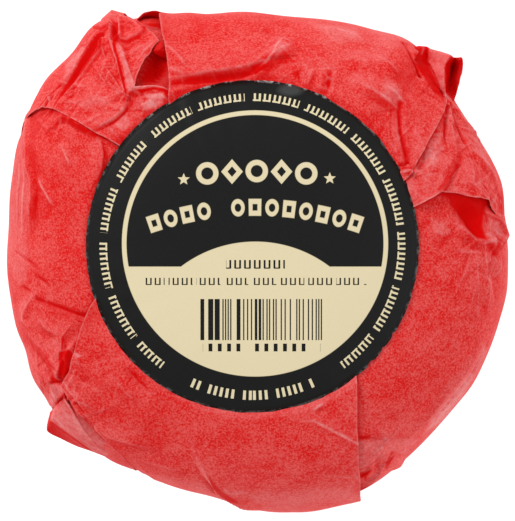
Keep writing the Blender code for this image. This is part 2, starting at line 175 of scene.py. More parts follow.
def on_ball(flat):
    """Places and outward directions on the plain ball for points of the flat map."""
    angle = np.degrees(np.arctan2(flat[:, 1], flat[:, 0])) % 360
    length = np.hypot(flat[:, 0], flat[:, 1])
    share = np.interp(length, LENGTHS, SHARES)
    height = np.interp(length, LENGTHS, HEIGHTS)
    radius = outline_radius(angle)
    turn = np.radians(angle)
    places = np.stack([share * radius * np.cos(turn), share * radius * np.sin(turn), height], axis=-1)
    rise = (height - MIDDLE_HEIGHT) / MIDDLE_HEIGHT
    outward = SIDE_POWER * share ** (SIDE_POWER - 1) / radius
    upward = CROWN_POWER * np.abs(rise) ** (CROWN_POWER - 1) * np.sign(rise) / MIDDLE_HEIGHT
    normals = np.stack([outward * np.cos(turn), outward * np.sin(turn), upward], axis=-1)
    return places, normals / np.maximum(np.linalg.norm(normals, axis=-1, keepdims=True), NO_LENGTH)


def flat_place(angle, length):
    """The flat-map point at an angle in degrees and a length from the crown."""
    turn = math.radians(angle)
    return length * math.cos(turn), length * math.sin(turn)


def seen(across, down):
    """The flat-map point whose paper, a little above the ball, shows at a pixel of the photograph."""
    right = across - PHOTO_WIDE / 2
    up = PHOTO_HIGH / 2 - down
    angle = math.degrees(math.atan2(up, right)) % 360
    lengths = LENGTHS[:WIDEST]
    places, normals = on_ball(np.stack(flat_place(angle, lengths), axis=-1))
    lifted = places + PAPER_LIFT * normals
    spread = np.hypot(lifted[:, 0], lifted[:, 1]) * FOCAL_PIXELS / (CAMERA_HEIGHT - lifted[:, 2])
    return flat_place(angle, float(np.interp(math.hypot(right, up), spread, lengths)))


def side(angle, height):
    """The flat-map point at an angle and at a height on the lower half."""
    return flat_place(angle, float(np.interp(-height, -HEIGHTS[WIDEST - 1:], LENGTHS[WIDEST - 1:])))


def path(*pixels):
    """Flat-map points of a line of pixels."""
    return [seen(*pixel) for pixel in pixels]


def fold(height, left, right, start, end, *pixels, worn=0.0, ends=()):
    """A crease through pixels of the photograph, with any further flat-map points after them."""
    return Fold(height, left, right, start, end, worn, path(*pixels) + list(ends))


# Creases of each side of the sheet: height, slope widths to the left and right of the path, shares
# of the height at its start and end, the pixels that it runs through, and how pale its crest is worn
LEFT_FOLDS = (
    fold(0.9, 4, 1.0, 0.3, 0.2, (96, 179), (101, 169), (102.8, 157.8), (102, 149.6), (97.8, 138), worn=0.3),
    fold(0.8, 1.0, 3, 0.3, 0.5, (92.9, 133), (79.6, 126.3), (70.5, 119.7), (61.4, 117.2), (53, 124.7)),
    fold(0.5, 1.5, 2, 0, 0, (38, 180), (49, 200.7), (53, 207.4), worn=0.7),
    fold(0.5, 1.5, 2, 0, 0, (58, 142), (63.8, 150.4), (69.7, 167), worn=0.7),
    fold(0.4, 1.5, 1.5, 0, 0, (35.7, 176), (43, 190), worn=0.6),
    fold(0.8, 2, 2.6, 0.5, 0.4, (30, 106), (26.6, 122.3), (24.7, 146), (25, 167), worn=0.4),
    fold(0.8, 2, 2.6, 0.6, 0.1, (25, 167), (29.5, 181), (30, 195), (28, 212), (27, 232), worn=0.4),
    fold(0.2, 0.6, 0.6, 0, 0, (22, 134), (17.5, 175), (14.5, 230), worn=0.9),
    fold(0.2, 0.6, 0.6, 0, 0, (24, 160), (21, 190), (19, 240), worn=0.8),
    fold(-0.2, 0.6, 0.6, 0, 0, (19, 165), (16, 200), (15, 244)),
    fold(-0.2, 0.6, 0.6, 0, 0, (25.5, 184), (23.5, 205), (22, 236)),
    fold(-0.35, 0.5, 0.7, 0.2, 0.2, (14.5, 250.5), (27.4, 261.5), (37.3, 269.2)),
    fold(-0.3, 0.5, 0.7, 0.2, 0.2, (34.5, 275), (49.3, 286)),
    fold(-0.3, 0.5, 0.7, 0.2, 0.2, (20.3, 286), (30.3, 293.3)),
    fold(-0.45, 0.9, 0.9, 1, 1, (36, 300.5), (60, 309), (87, 318.5)),
    fold(0.5, 3, 2, 0.5, 0.5, (31.3, 295.4), (21.4, 315), (21.4, 320.4), (25.9, 325.7), worn=0.9),
    fold(1.0, 3, 2, 0.4, 1, (26.8, 333), (42, 353), (57, 373), worn=0.4),
    fold(0.45, 1.6, 2.6, 0.3, 1, (70.5, 325.7), (60.7, 339), (60.7, 351.6), worn=0.3),
    fold(0.9, 2, 0.7, 0.6, 1, (69.6, 348), (64, 356), (59.8, 365), (58, 378), worn=0.4),
    fold(0.8, 1.5, 2, 0.2, 0.8, (29.5, 360.5), (48.2, 383.8), (53.6, 397), worn=0.5),
    fold(-0.7, 0.8, 1.4, 0.2, 1, (64, 340), (64, 352), (62, 368), (60, 380)),
    fold(0.6, 1.6, 1.6, 0.2, 0.2, (36, 318), (48, 330), (61, 336), worn=0.3),
    fold(-0.7, 0.8, 0.8, 0.3, 0.8, (30, 364), (42, 380), (48.5, 387)),
    fold(-0.8, 0.8, 0.8, 0.6, 1, (54, 407), (60, 402), (65, 397)),
    fold(-0.7, 0.7, 0.7, 0.5, 1, (50, 384.5), (57, 385), (63, 389), (66, 394)),
)
RIGHT_FOLDS = (
    fold(-2.2, 2.6, 2.6, 0.2, 0.5, (452, 203), (464, 209), (472, 216), (477, 228), (483, 238)),
    fold(1.5, 1.4, 2.2, 0.2, 0.9, (455.5, 223), (474.6, 239.3), (491, 241), worn=0.7),
    fold(1.4, 1.5, 1.6, 0.4, 0.6, (491, 241), (484.2, 233.6), (483, 222), worn=0.3),
    fold(1.6, 1.8, 1.8, 0.4, 0.7, (486, 213), (499.5, 222), (504.5, 236), (497, 247), worn=0.4),
    fold(-0.8, 1, 1, 0.5, 0.2, (493, 232), (500, 240), (501, 249)),
    fold(0.8, 1, 1, 0.2, 0.2, (502.4, 263), (494.7, 278.6), worn=0.4),
    fold(0.5, 1, 1, 0.2, 0.2, (486, 263), (494, 259), worn=0.4),
    fold(-0.7, 1.2, 1.2, 0.3, 0.1, (497, 252), (491, 266), (488, 282)),
    fold(0.7, 2, 3, 0.4, 0, (484, 243), (486, 262), (489, 285), (487, 320), worn=0.5),
    fold(0.5, 2, 2, 0, 0, (476, 246), (478, 276), (475, 305), worn=0.3),
    fold(0.4, 3, 3, 0, 0, (430, 224), (437, 232), (452, 238), worn=0.2),
    fold(0.8, 3, 2.4, 0.2, 0.6, (484, 344.6), (467.6, 371.4), (449.7, 391.8), (429.3, 418.6),
        (411.4, 436.5), worn=0.5),
    fold(-0.6, 1, 1, 0, 0.2, (492, 338), (478, 367), (462, 390), (440, 415)),
    fold(0.5, 4, 0.6, 1, 0.1, (356.6, 437), (369.3, 436.4), (385, 437.4), (411.4, 437), worn=0.25),
    fold(-1.4, 1.0, 1.4, 1, 0.2, (356, 477), (364, 474.6), (372, 469.5)),
    fold(1.2, 1, 2, 1, 0.6, (360, 488), (372, 481), (379, 474), (384, 466), worn=0.3),
    fold(-1.0, 0.8, 1.4, 0.6, 0.3, (384.6, 468.4), (388, 461), (393.6, 455)),
    fold(0.9, 2, 2, 0.4, 1, (376, 449), (388, 462), (401, 466), worn=0.3),
    fold(0.5, 3, 3, 0, 0.2, (357, 452), (368, 447), (374, 441), worn=0.3),
)
UPPER_RIGHT_FOLDS = (
    fold(-0.6, 0.5, 0.7, 1, 0, (446, 108), (445.2, 121), (445, 138), (447.4, 153)),
    fold(0.6, 1.8, 1.8, 1, 0, (448, 105), (450, 128), (455, 150), (456, 165), worn=0.4),
    fold(-0.6, 0.5, 0.7, 1, 0, (450, 106), (455.6, 124), (464, 142), (471, 157)),
    fold(0.8, 1.6, 1.8, 1, 0, (452, 106), (463, 121), (479.5, 141), (486, 152), worn=0.8),
    fold(-0.4, 0.6, 0.8, 0.6, 0, (460, 112), (473, 131), (483, 149)),
    fold(0.8, 2.4, 2, 0.4, 0, (466, 140), (472, 152), (492, 174), (499, 186), worn=0.5),
    fold(0.9, 2, 2.4, 0, 1, (471, 158), (472, 172), (471, 184), (486, 200), worn=0.4),
    fold(-0.8, 1.2, 2, 0.3, 1, (462, 160), (455, 172), (449, 180)),
    fold(0.5, 2, 2, 0, 0.2, (427, 150), (432, 164), (428, 180), worn=0.3),
    fold(1.2, 6, 0.8, 0.7, 1, (405, 212), (412.4, 207.8), (434.4, 195.8), (448.8, 180), worn=0.3),
    fold(0.7, 2, 0.8, 0.3, 0.2, (478, 196), (471, 206), (466, 214)),
)
TOP_FOLDS = (
    fold(1.5, 8, 1.8, 0.3, 0.8, (172, 81), (186.4, 77.5), (217, 73.7), (241, 70), (264, 64), worn=0.5),
    fold(-0.5, 1.4, 1.2, 0.4, 0.6, (172, 86), (190, 82), (217, 79.5), (241, 76.5), (255, 74)),
    fold(1.0, 1.8, 2.6, 0.8, 0.2, (254.8, 75.6), (272, 59.3), (293, 44), worn=0.6),
    fold(-0.9, 1.0, 1.4, 1, 0.2, (252, 72), (263, 66), (270, 58)),
    fold(0.5, 1.6, 2.2, 0.4, 0.2, (281.6, 40.2), (276, 50), (272, 59.3), worn=1.0),
    fold(0.4, 1.5, 1.5, 0.6, 0, (281.6, 40.2), (293, 43.5), worn=0.5),
    fold(0.5, 1.5, 2, 0.4, 0.2, (169, 48), (181.6, 61), (188, 69), worn=0.8),
    fold(0.4, 1.2, 1.2, 0.6, 0.2, (172, 71), (185, 75.6), worn=0.5),
    fold(-0.5, 1, 1.2, 0.2, 0.4, (297.8, 70.8), (299.8, 83.3)),
    fold(0.5, 1.2, 1.2, 0.2, 0.4, (313, 69), (307.4, 84), worn=0.4),
    fold(-0.6, 1, 1.6, 0.2, 0.6, (331.3, 69), (330, 80), (327, 93)),
    fold(0.5, 1.5, 1.5, 0.2, 0.3, (322, 70), (327, 78), (335, 82), worn=0.4),
    fold(0.7, 2, 2.4, 0, 0, (373.4, 56.5), (388, 66), (400, 76.6), worn=0.5),
    fold(0.9, 4, 2, 0, 0.1, (348.6, 79.4), (368, 90), (385, 100), (399.3, 110), worn=0.7),
    fold(0.6, 2, 2, 0, 0, (384, 86), (396, 96), (407, 106), worn=0.6),
    fold(-1.1, 1.2, 2.4, 0.3, 0.6, (399.6, 98), (400, 131), (404, 150), (407.8, 162), worn=0.1),
    fold(1.1, 2.4, 1.2, 0.2, 0.5, (396, 112), (396, 132), (400, 152), (404, 166), worn=0.4),
    fold(-1.0, 1, 1, 1, 1, (401, 168), (408, 167), (412, 170)),
    fold(0.9, 1.0, 1.0, 0.6, 1, (402, 172), (409, 171), (412, 174), worn=0.6),
    fold(0.8, 2.2, 2.2, 0, 1, (413, 128), (420, 146), (421, 152), worn=0.3),
    fold(0.7, 3, 3, 0, 0, (317, 27), (336, 31), (355, 38), (372, 47), worn=0.6),
    fold(0.5, 3, 3, 0, 0, (340, 60), (362, 62), (378, 74), worn=0.2),
    fold(-1.0, 1, 1.6, 0.4, 1, (406, 46), (412, 58), (420, 76)),
)
BOTTOM_FOLDS = (
    fold(0.35, 2.4, 1.6, 0.2, 0.8, (299, 421), (303.7, 420), (313.9, 420), (329, 427), (342, 434),
        (356.7, 441), worn=1.0),
    fold(0.5, 1.2, 1.2, 0.2, 0.2, (312.7, 409.8), (318, 405), (324, 403.4), worn=1.0),
    fold(1.1, 5, 1.2, 0.1, 1, (192.8, 446), (208, 471.6), (218.3, 487), (241.2, 503.5), worn=0.5),
    fold(-1.0, 0.8, 1.2, 0, 1, (206, 473), (216, 489), (232, 500)),
    fold(0.5, 6, 6, 0, 0, (165, 473), (240, 490), (300, 482), (356, 476), worn=0.25),
    fold(0.6, 3, 1.2, 0.2, 0.2, (96, 425), (110, 434), (128, 440), (152, 447), worn=0.35),
    fold(0.4, 2, 2, 0, 0, (112, 374), (128, 392), (140, 402), worn=0.3),
    fold(-0.4, 2, 2, 0, 0, (128, 366), (140, 382), (154, 394)),
    fold(0.2, 1.5, 1.5, 0.4, 0.2, (76, 352), (80, 355), (85, 355), worn=0.9),
    fold(0.5, 1.2, 1.2, 0.5, 0.2, (66, 380), (71, 388), (80, 400), worn=0.6),
    fold(-0.9, 0.8, 0.8, 1, 0.2, (78, 404), (83, 410), (87, 414)),
    fold(-0.9, 0.8, 0.8, 0.2, 0.6, (85, 415), (90, 420), (95, 424)),
    fold(0.5, 2.5, 2.5, 0, 0, (130, 455), (160, 462), (190, 470), worn=0.3),
    fold(1.4, 1, 14, 0.1, 0.8, (357, 440), (357, 461), (357, 488), (356.5, 497), ends=[side(292, 24),
        side(290, 10)]),
    fold(-0.8, 3, 3, 0.4, 0.6, (116, 449), (125, 459), (134.9, 469.8), ends=[side(246, 26)]),
)
UPPER_LEFT_FOLDS = (
    fold(-1.7, 1.0, 2.2, 1, 0.1, (101, 38), (93, 50), (83, 65), (71, 82), (57, 101)),
    fold(0.6, 1.4, 1.0, 0.6, 0.1, (98, 30), (91, 42), (82, 56), (70, 75), (58, 93), worn=0.5),
    fold(0.5, 1.0, 3, 0.8, 0.2, (103, 42), (102, 49), (93, 60), (80, 78), (62, 100), worn=0.4),
    fold(-0.5, 0.8, 0.8, 0.2, 0.4, (53.9, 94), (43.9, 111.4)),
    fold(-1.8, 1.0, 1.0, 1, 0.6, (113.5, 19), (115.5, 30), (116, 40)),
    fold(0.6, 0.9, 1.0, 0.8, 1, (109, 15), (110.5, 26), (111.5, 41), worn=0.5),
    fold(0.7, 0.9, 2.4, 0.8, 1, (119.5, 20), (120.5, 30), (121, 40), worn=0.5),
    fold(1.0, 2.6, 0.7, 1, 0.4, (112, 43), (114.5, 52), (118, 60), (120.5, 70), (123, 82), (126, 94),
        worn=0.7),
    fold(0.6, 1.6, 0.9, 0.6, 0.4, (120, 43), (125, 56), (129.5, 68), (133, 80), (135, 88), worn=0.2),
    fold(0.7, 2.4, 0.9, 0.8, 0.2, (101, 44), (104, 51), (106, 60), worn=0.4),
    fold(0.7, 0.9, 2.6, 0.2, 0.8, (104, 64), (112.5, 76), (119.5, 87), (125, 93), worn=0.3),
    fold(0.7, 2.4, 1.0, 1, 0.6, (119, 42), (128, 41), (137, 37), (146, 31), worn=0.4),
    fold(0.7, 1.4, 1.8, 1, 0.6, (112, 13), (122, 18), (133, 23), (144, 31), worn=0.6),
    fold(0.6, 1.5, 3, 0.4, 0.4, (121, 31), (131, 25), (136, 26), worn=0.2),
    fold(0.5, 1.6, 1.6, 0.2, 0.2, (131, 57), (137, 52), (147, 44), worn=0.3),
    fold(0.5, 3, 3, 0, 0.2, (74, 105), (88, 101), (100, 97), (110, 101), worn=0.2),
    fold(0.4, 3, 2, 0, 0.1, (96, 96), (106, 104), (112, 106), worn=0.2),
    fold(1.1, 0.7, 5, 0.8, 0.3, (127, 104), (123.5, 111), (117, 117.5), (108, 123.5), (96.2, 129.7),
        worn=0.6),
    fold(0.5, 1.4, 1.4, 0.4, 0.4, (107, 124), (113, 132), (120, 140), worn=0.3),
    fold(0.7, 1.5, 1.5, 0.3, 0.6, (140, 60), (147, 52), (156, 44), worn=0.6),
    fold(0.8, 0.8, 1.4, 1, 0.7, (135.4, 89.5), (144, 88.6), (152.6, 86.8), (164, 89), worn=0.7),
    fold(0.5, 1.2, 1.2, 0.2, 0.3, (144, 94), (152, 99), (150, 107), worn=0.8),
    fold(0.5, 1.2, 1.2, 0.2, 0.3, (152, 96), (160, 95), (168, 100), worn=0.8),
    fold(0.4, 1.5, 1.5, 0, 0, (136, 110), (146, 103), (158, 100), worn=0.6),
)
CORE_FOLDS = (
    fold(-3.0, 2.8, 2.8, 0.5, 0.6, (160, 50), (157, 62), (149, 78)),
    fold(-2.4, 2.0, 2.8, 0.5, 1, (138, 21), (150, 20), (160, 19)),
)

# Free ends of the sides of the sheet, inner end first, each with its run down to the foot
TOP_LEFT_EDGE = path((176, 122), (168.3, 100.2), (169.4, 90.3), (169.8, 76.5), (167.9, 60.4), (165.6, 43.6),
                     (163.3, 36.7), (161.8, 25), (159.8, 13.8)) + [side(112, 26), side(111, 7)]
TOP_RIGHT_EDGE = path((386, 200), (407.8, 177), (410.6, 173), (423, 148), (435.5, 126), (441, 114.6),
                      (444.6, 101.5), (437, 94), (424, 76), (413.5, 60)) + [side(53, 28), side(55, 7)]
BOTTOM_LEFT_EDGE = path((112, 262), (94.6, 299.8), (86.6, 316.8), (82, 328.4), (76.8, 348), (71.4, 368.6),
                        (63, 385), (67.6, 393), (83.9, 414.7), (93, 421.8), (109.4, 441.2), (120.6, 453.5),
                        (134.9, 469.8)) + [side(246, 26), side(250, 7)]
BOTTOM_RIGHT_EDGE = path((357, 345), (356.3, 379), (356, 427), (356.5, 461.4), (357, 488),
                         (356.5, 497)) + [side(292, 24), side(290, 7)]
LEFT_TOP_EDGE = path((150, 170), (122, 150), (104, 134), (80, 116), (66, 104),
                     (40, 92)) + [side(150, 26), side(150, 7)]
LEFT_LOW_EDGE = path((128, 290), (100, 312), (90, 350), (80, 378), (70, 398),
                     (58, 408)) + [side(213, 26), side(214, 7)]
RIGHT_TOP_EDGE = path((380, 190), (420, 180), (450, 168), (470, 180),
                      (495, 190)) + [side(16, 26), side(16, 7)]
RIGHT_LOW_EDGE = path((330, 350), (340, 400), (345, 450), (348, 485)) + [side(287, 26), side(285, 7)]
UPPER_RIGHT_TOP_EDGE = path((385, 170), (405, 150), (424, 124), (436, 105),
                            (446, 99)) + [side(38, 26), side(38, 7)]
UPPER_RIGHT_LOW_EDGE = path((385, 222), (412.4, 207.8), (434.4, 195.8), (441, 192), (457.4, 193.4),
                            (467, 196.3), (486, 200.6), (491, 210), (500, 222)) + [side(6, 26), side(6, 7)]
UPPER_LEFT_LOW_EDGE = path((140, 170), (130, 157), (119.4, 146.2), (107.8, 138.8), (95.4, 133), (78, 122),
                           (63.8, 114), (55, 110), (44, 108)) + [side(155, 26), side(156, 7)]
UPPER_LEFT_TOP_EDGE = path((192, 118), (180, 104), (170, 91), (162, 87.5), (149, 86.8), (136, 88.6),
                           (136.5, 80), (139, 73), (143, 65), (153.5, 51.3), (160.5, 43), (155, 36),
                           (146, 29.5), (136, 21.5)) + [side(120, 26), side(120, 7)]

# Painted shade: deeper red where shade falls in hollows, pockets and valleys and under overlapping sheets, as
# corners in pixels.
# Those with a strength below zero have a painted sheen, a pale haze, instead.
LEFT_HOLLOWS = (
    Hollow(1.0, 1.5, ((59, 352), (68, 349), (73, 352), (70, 370), (64, 381), (56, 379), (58, 366))),
    Hollow(0.8, 0.8, ((70.8, 325), (72, 326), (64, 337), (62.6, 350), (60.6, 350), (61.4, 337))),
    Hollow(1.0, 0.8, ((49, 378), (53, 376.6), (56.5, 379), (61, 380), (63.6, 381), (60, 384), (54, 383))),
    Hollow(0.6, 2, ((66, 386), (84, 413), (92, 421), (86, 424), (74, 412), (64, 396))),
    Hollow(0.6, 1.2, ((36, 298.5), (50, 303.5), (88, 315), (87, 322), (70, 317.5), (48, 309), (36, 303))),
    Hollow(0.7, 2, ((27, 334), (44, 352), (58, 372), (50, 370), (32, 350))),
    Hollow(-0.5, 3, ((50, 384), (61, 385), (64, 392), (54, 405), (49, 403))),
    Hollow(-0.3, 4, ((29, 108), (26.5, 124), (24.5, 146), (25.5, 168), (29, 182), (29, 200), (27, 225),
        (29, 250), (28, 280), (18, 288), (7, 262), (7, 200), (13, 156), (21, 130))),
    Hollow(0.45, 5, ((30, 112), (44, 122), (36, 145), (40, 180), (42, 210), (36, 236), (32, 215), (33, 184),
        (27, 160))),
    Hollow(0.85, 0.8, ((101.3, 142), (103.4, 153), (101.8, 167), (97.3, 180), (98.7, 181), (104, 168),
        (105.6, 153), (103.2, 141))),
    Hollow(0.8, 0.8, ((14, 250.4), (15, 249.6), (37.8, 268.6), (37, 270.2))),
    Hollow(0.6, 0.8, ((34, 275.2), (35, 274.2), (49.8, 285.2), (49, 286.8))),
    Hollow(0.6, 0.8, ((19.6, 286.4), (20.6, 285.2), (30.8, 292.8), (30, 294.2))),
    Hollow(0.8, 1.0, ((44, 236.5), (47.5, 237), (47, 241), (44.5, 240.5))),
    Hollow(0.6, 1.0, ((57.5, 210.5), (61, 211), (60, 214), (57.5, 213.5))),
)
RIGHT_HOLLOWS = (
    Hollow(1.0, 4, ((446, 195), (466, 194), (490, 200), (486, 215), (484.6, 227), (488, 237), (492, 243),
        (476.4, 240), (466, 231), (459, 221), (454, 209))),
    Hollow(1.0, 1.0, ((357, 473), (364, 472), (373, 468.4), (370, 473.5), (366.5, 477.5), (367.3, 481.5),
        (365.2, 480.5), (364, 478.2), (357, 479.6))),
    Hollow(1.0, 0.6, ((356, 435.5), (370, 435.2), (371.4, 437), (363, 439.4), (356, 439.8))),
    Hollow(0.9, 0.9, ((394.4, 454), (395.6, 455.2), (389.5, 464), (387, 471), (384.8, 469), (387, 461.5))),
    Hollow(-0.3, 1.5, ((372, 439), (421, 437.5), (404, 455), (392, 451), (366, 466), (358, 470),
        (358, 441))),
    Hollow(0.8, 2, ((495, 232), (502, 240), (502, 250), (497, 247))),
    Hollow(0.8, 1.2, ((358, 487.6), (368, 485.4), (376.5, 482.4), (376.5, 485.5), (366, 489.5),
        (358, 492))),
    Hollow(-0.5, 3, ((484, 344), (488, 350), (478, 372), (470, 372))),
    Hollow(-0.9, 4, ((470, 372), (477, 373), (462, 398), (440, 424), (422, 435), (432, 419), (452, 394))),
    Hollow(-0.4, 4, ((430, 218), (446, 222), (452, 234), (436, 236))),
    Hollow(-0.45, 3, ((488, 216), (500, 222), (504, 236), (497, 246), (488, 236))),
)
UPPER_RIGHT_HOLLOWS = (
    Hollow(0.85, 0.8, ((445, 111), (446.4, 111), (445.8, 138), (448.4, 152), (446.6, 152.5), (444.2, 138))),
    Hollow(0.6, 0.8, ((453.5, 118), (455, 118), (460, 130), (466.5, 142), (473, 160), (471.5, 160),
        (464, 143), (457.5, 131))),
    Hollow(0.85, 1.5, ((443, 103), (453.4, 104.5), (447, 112), (441, 121), (435.5, 128), (437, 118))),
    Hollow(0.7, 1.5, ((434, 131), (431, 141), (425, 157), (420, 163), (424, 149))),
    Hollow(0.8, 1.5, ((446, 176), (455, 172), (450, 182), (440, 191), (437, 190))),
    Hollow(0.6, 3, ((494, 180), (503, 200), (506, 222), (498, 212))),
    Hollow(0.5, 1.0, ((470, 118), (485, 139), (497, 164), (507, 186), (508, 205), (503.5, 205),
        (501.5, 187), (493.5, 166), (481.5, 141), (467, 120))),
    Hollow(-0.4, 4, ((462, 112), (474, 128), (488, 158), (494, 176), (482, 158), (466, 128))),
    Hollow(-0.35, 4, ((428, 142), (440, 134), (444, 150), (436, 168), (424, 160))),
)
TOP_HOLLOWS = (
    Hollow(0.6, 4, ((176, 84), (190, 79), (217, 75), (241, 71.5), (252, 70), (250, 78), (232, 82),
        (200, 88))),
    Hollow(1.0, 1.5, ((249, 71), (264.4, 63), (268, 66), (255.7, 76))),
    Hollow(0.8, 2, ((397, 100), (402, 100), (403, 130), (411, 160), (404, 166), (399, 134))),
    Hollow(0.5, 3, ((329, 70), (332, 72), (328, 94), (325, 92))),
    Hollow(1.0, 3, ((411, 52), (419, 52), (430, 70), (445, 94), (445, 104), (435, 94), (424.7, 81),
        (416, 66))),
    Hollow(-0.45, 6, ((312, 24), (356, 28), (364, 44), (330, 40))),
    Hollow(-0.4, 4, ((384, 76), (399, 84), (403, 98), (396, 106), (380, 96))),
    Hollow(-0.4, 3, ((281, 40), (293, 43), (273, 60))),
)
BOTTOM_HOLLOWS = (
    Hollow(0.8, 2, ((206, 472), (219, 488), (243, 505), (228, 503), (212, 490))),
    Hollow(0.9, 2, ((122.7, 455.5), (137, 471), (128, 468))),
    Hollow(-0.3, 8, ((150, 474), (250, 492), (356, 480), (358, 500), (290, 510), (200, 492))),
)
UPPER_LEFT_HOLLOWS = (
    Hollow(1.0, 1.2, ((100, 31), (102, 38), (101.5, 46.7), (93.3, 56.7), (80.8, 75), (70.8, 86.7), (60, 99),
        (52, 110), (54, 103), (60, 94), (66.7, 83.3), (72.5, 74.2), (78.3, 64.2), (85.8, 51.7),
        (93.3, 39.2))),
    Hollow(0.9, 0.9, ((92.5, 26), (97, 25.4), (100.5, 26.5), (109.5, 21), (108.5, 30), (105, 31.8),
        (101, 31.2), (97, 29.8), (93, 29))),
    Hollow(1.0, 1.0, ((108.8, 15.8), (113.3, 20.8), (118.3, 22.5), (117.9, 30.8), (119.8, 38), (118, 41.5),
        (112.4, 42), (111.8, 33), (112.3, 23.3))),
    Hollow(1.0, 0.8, ((112, 42), (115, 42), (117, 52), (119.7, 60), (121.3, 68), (124.2, 78), (125.7, 86),
        (127, 95), (125, 94), (122, 84), (120, 76), (117.5, 66), (116, 58), (113, 50))),
    Hollow(-0.6, 1.5, ((118.3, 42.5), (121.7, 46.7), (125.8, 56.7), (129, 65.8), (132.5, 75.8), (135, 86.7),
        (133, 91), (127.5, 91), (124.6, 76), (121.6, 63.3), (118.4, 53.3), (115.6, 45))),
    Hollow(0.6, 0.8, ((123.8, 52), (126, 55), (130.5, 68), (134.2, 80), (133, 80), (129, 69), (125, 58))),
    Hollow(0.7, 0.8, ((104.6, 64.5), (106, 64.6), (114, 75), (121, 86), (126.5, 93.5), (125, 93.7),
        (119.4, 87), (112.6, 76.5))),
    Hollow(0.6, 1.0, ((102, 47), (104, 48), (107.3, 54), (106.8, 60), (104.8, 56))),
    Hollow(0.6, 1.5, ((119, 22), (121, 20.5), (130.5, 20), (131, 22.6), (125, 25.8), (120, 30.5))),
    Hollow(0.75, 1.2, ((134, 19.5), (139, 20.8), (147, 26.7), (144, 29.2), (137.5, 24.6))),
    Hollow(0.45, 2, ((119.4, 36.5), (126, 40), (135, 36.5), (144, 32), (140, 37), (130, 41.6),
        (121, 42.2))),
    Hollow(0.5, 1.2, ((131, 56.5), (135.4, 52), (137, 52.5), (133, 57))),
    Hollow(0.9, 1.2, ((126.6, 105), (129.6, 109), (127.5, 113), (124.6, 111))),
    Hollow(0.85, 0.8, ((128.5, 107), (126.8, 112), (121, 118.4), (113, 124), (106, 127.4), (105, 125.6),
        (112, 122), (119.5, 116.5), (124.6, 110.5))),
    Hollow(-0.5, 2.5, ((121, 116), (127.5, 113), (131, 126), (122, 132), (114, 125))),
    Hollow(0.95, 1.0, ((136, 89.6), (146, 88.4), (152, 86.8), (162, 87.7), (170, 90.6), (170, 94),
        (162, 91.5), (154, 90), (147, 91.6), (141, 92.8))),
    Hollow(-0.6, 3, ((66, 64), (72, 56), (83, 46), (86, 48), (78, 62), (68, 76), (62, 80))),
    Hollow(0.4, 1.5, ((78, 46), (81, 43), (86, 45), (84, 47))),
    Hollow(-1.0, 4, ((148, 94), (163, 93), (163, 103), (155, 108), (144, 110))),
    Hollow(-0.35, 5, ((78, 104), (88, 98), (106, 96), (113, 101), (102, 107), (84, 109))),
)
EAR_UPPER_RIGHT_HOLLOWS = (
    Hollow(1.0, 1.2, ((413.5, 56), (419, 54), (425.5, 55), (429.5, 67), (436, 80), (443, 93), (444.4, 102),
        (441, 101), (435, 94), (424.7, 81), (416, 65))),
    Hollow(-0.35, 0.8, ((425.5, 66), (427, 66), (436.5, 89), (435, 88))),
    Hollow(0.95, 1.2, ((446, 63), (452, 60), (464, 59), (464, 66), (459, 84), (454.6, 104), (448, 96),
        (445, 92), (445, 76))),
    Hollow(-0.6, 3, ((457, 65), (465, 67), (461, 82), (453, 81), (455, 74))),
    Hollow(-0.5, 1.0, ((445.5, 93), (448, 93), (455, 101), (453.6, 103.5))),
)
EAR_LOWER_LEFT_HOLLOWS = (
    Hollow(0.9, 0.8, ((52, 421), (60, 427), (75, 438), (90, 448.8), (100, 457), (92, 456), (77, 451),
        (60, 444), (44, 435), (46.5, 422))),
    Hollow(-0.35, 2, ((53, 419), (64, 400), (70, 396), (84, 412), (96, 424), (112, 442), (124, 458),
        (106, 455), (91, 448), (75, 437), (61, 427))),
    Hollow(0.7, 0.9, ((66, 395), (68, 394), (73, 405), (75.5, 413), (74, 412.5), (70, 404))),
    Hollow(0.5, 0.8, ((74, 412.5), (75.5, 413), (86, 430), (99, 447), (98, 447.6), (84.6, 430.6))),
)
# Painted shade over the whole lip
LIP_HOLLOWS = (
    Hollow(0.9, 1.0, ((148, 40), (174, 40), (174, 64), (148, 64))),
)
EAR_TOP_HOLLOWS = (
    Hollow(0.8, 1.5, ((136, 20), (143, 13), (152, 10), (161, 11), (162, 21), (150, 20.5))),
)
CORE_HOLLOWS = (
    Hollow(1.0, 3, ((160, 42), (152, 50), (141, 64), (134, 84), (144, 78), (156, 68), (169, 60),
        (170, 44))),
    Hollow(0.62, 3, ((134, 84), (144, 78), (156, 68), (169, 60), (172, 90), (150, 90), (133, 90))),
)
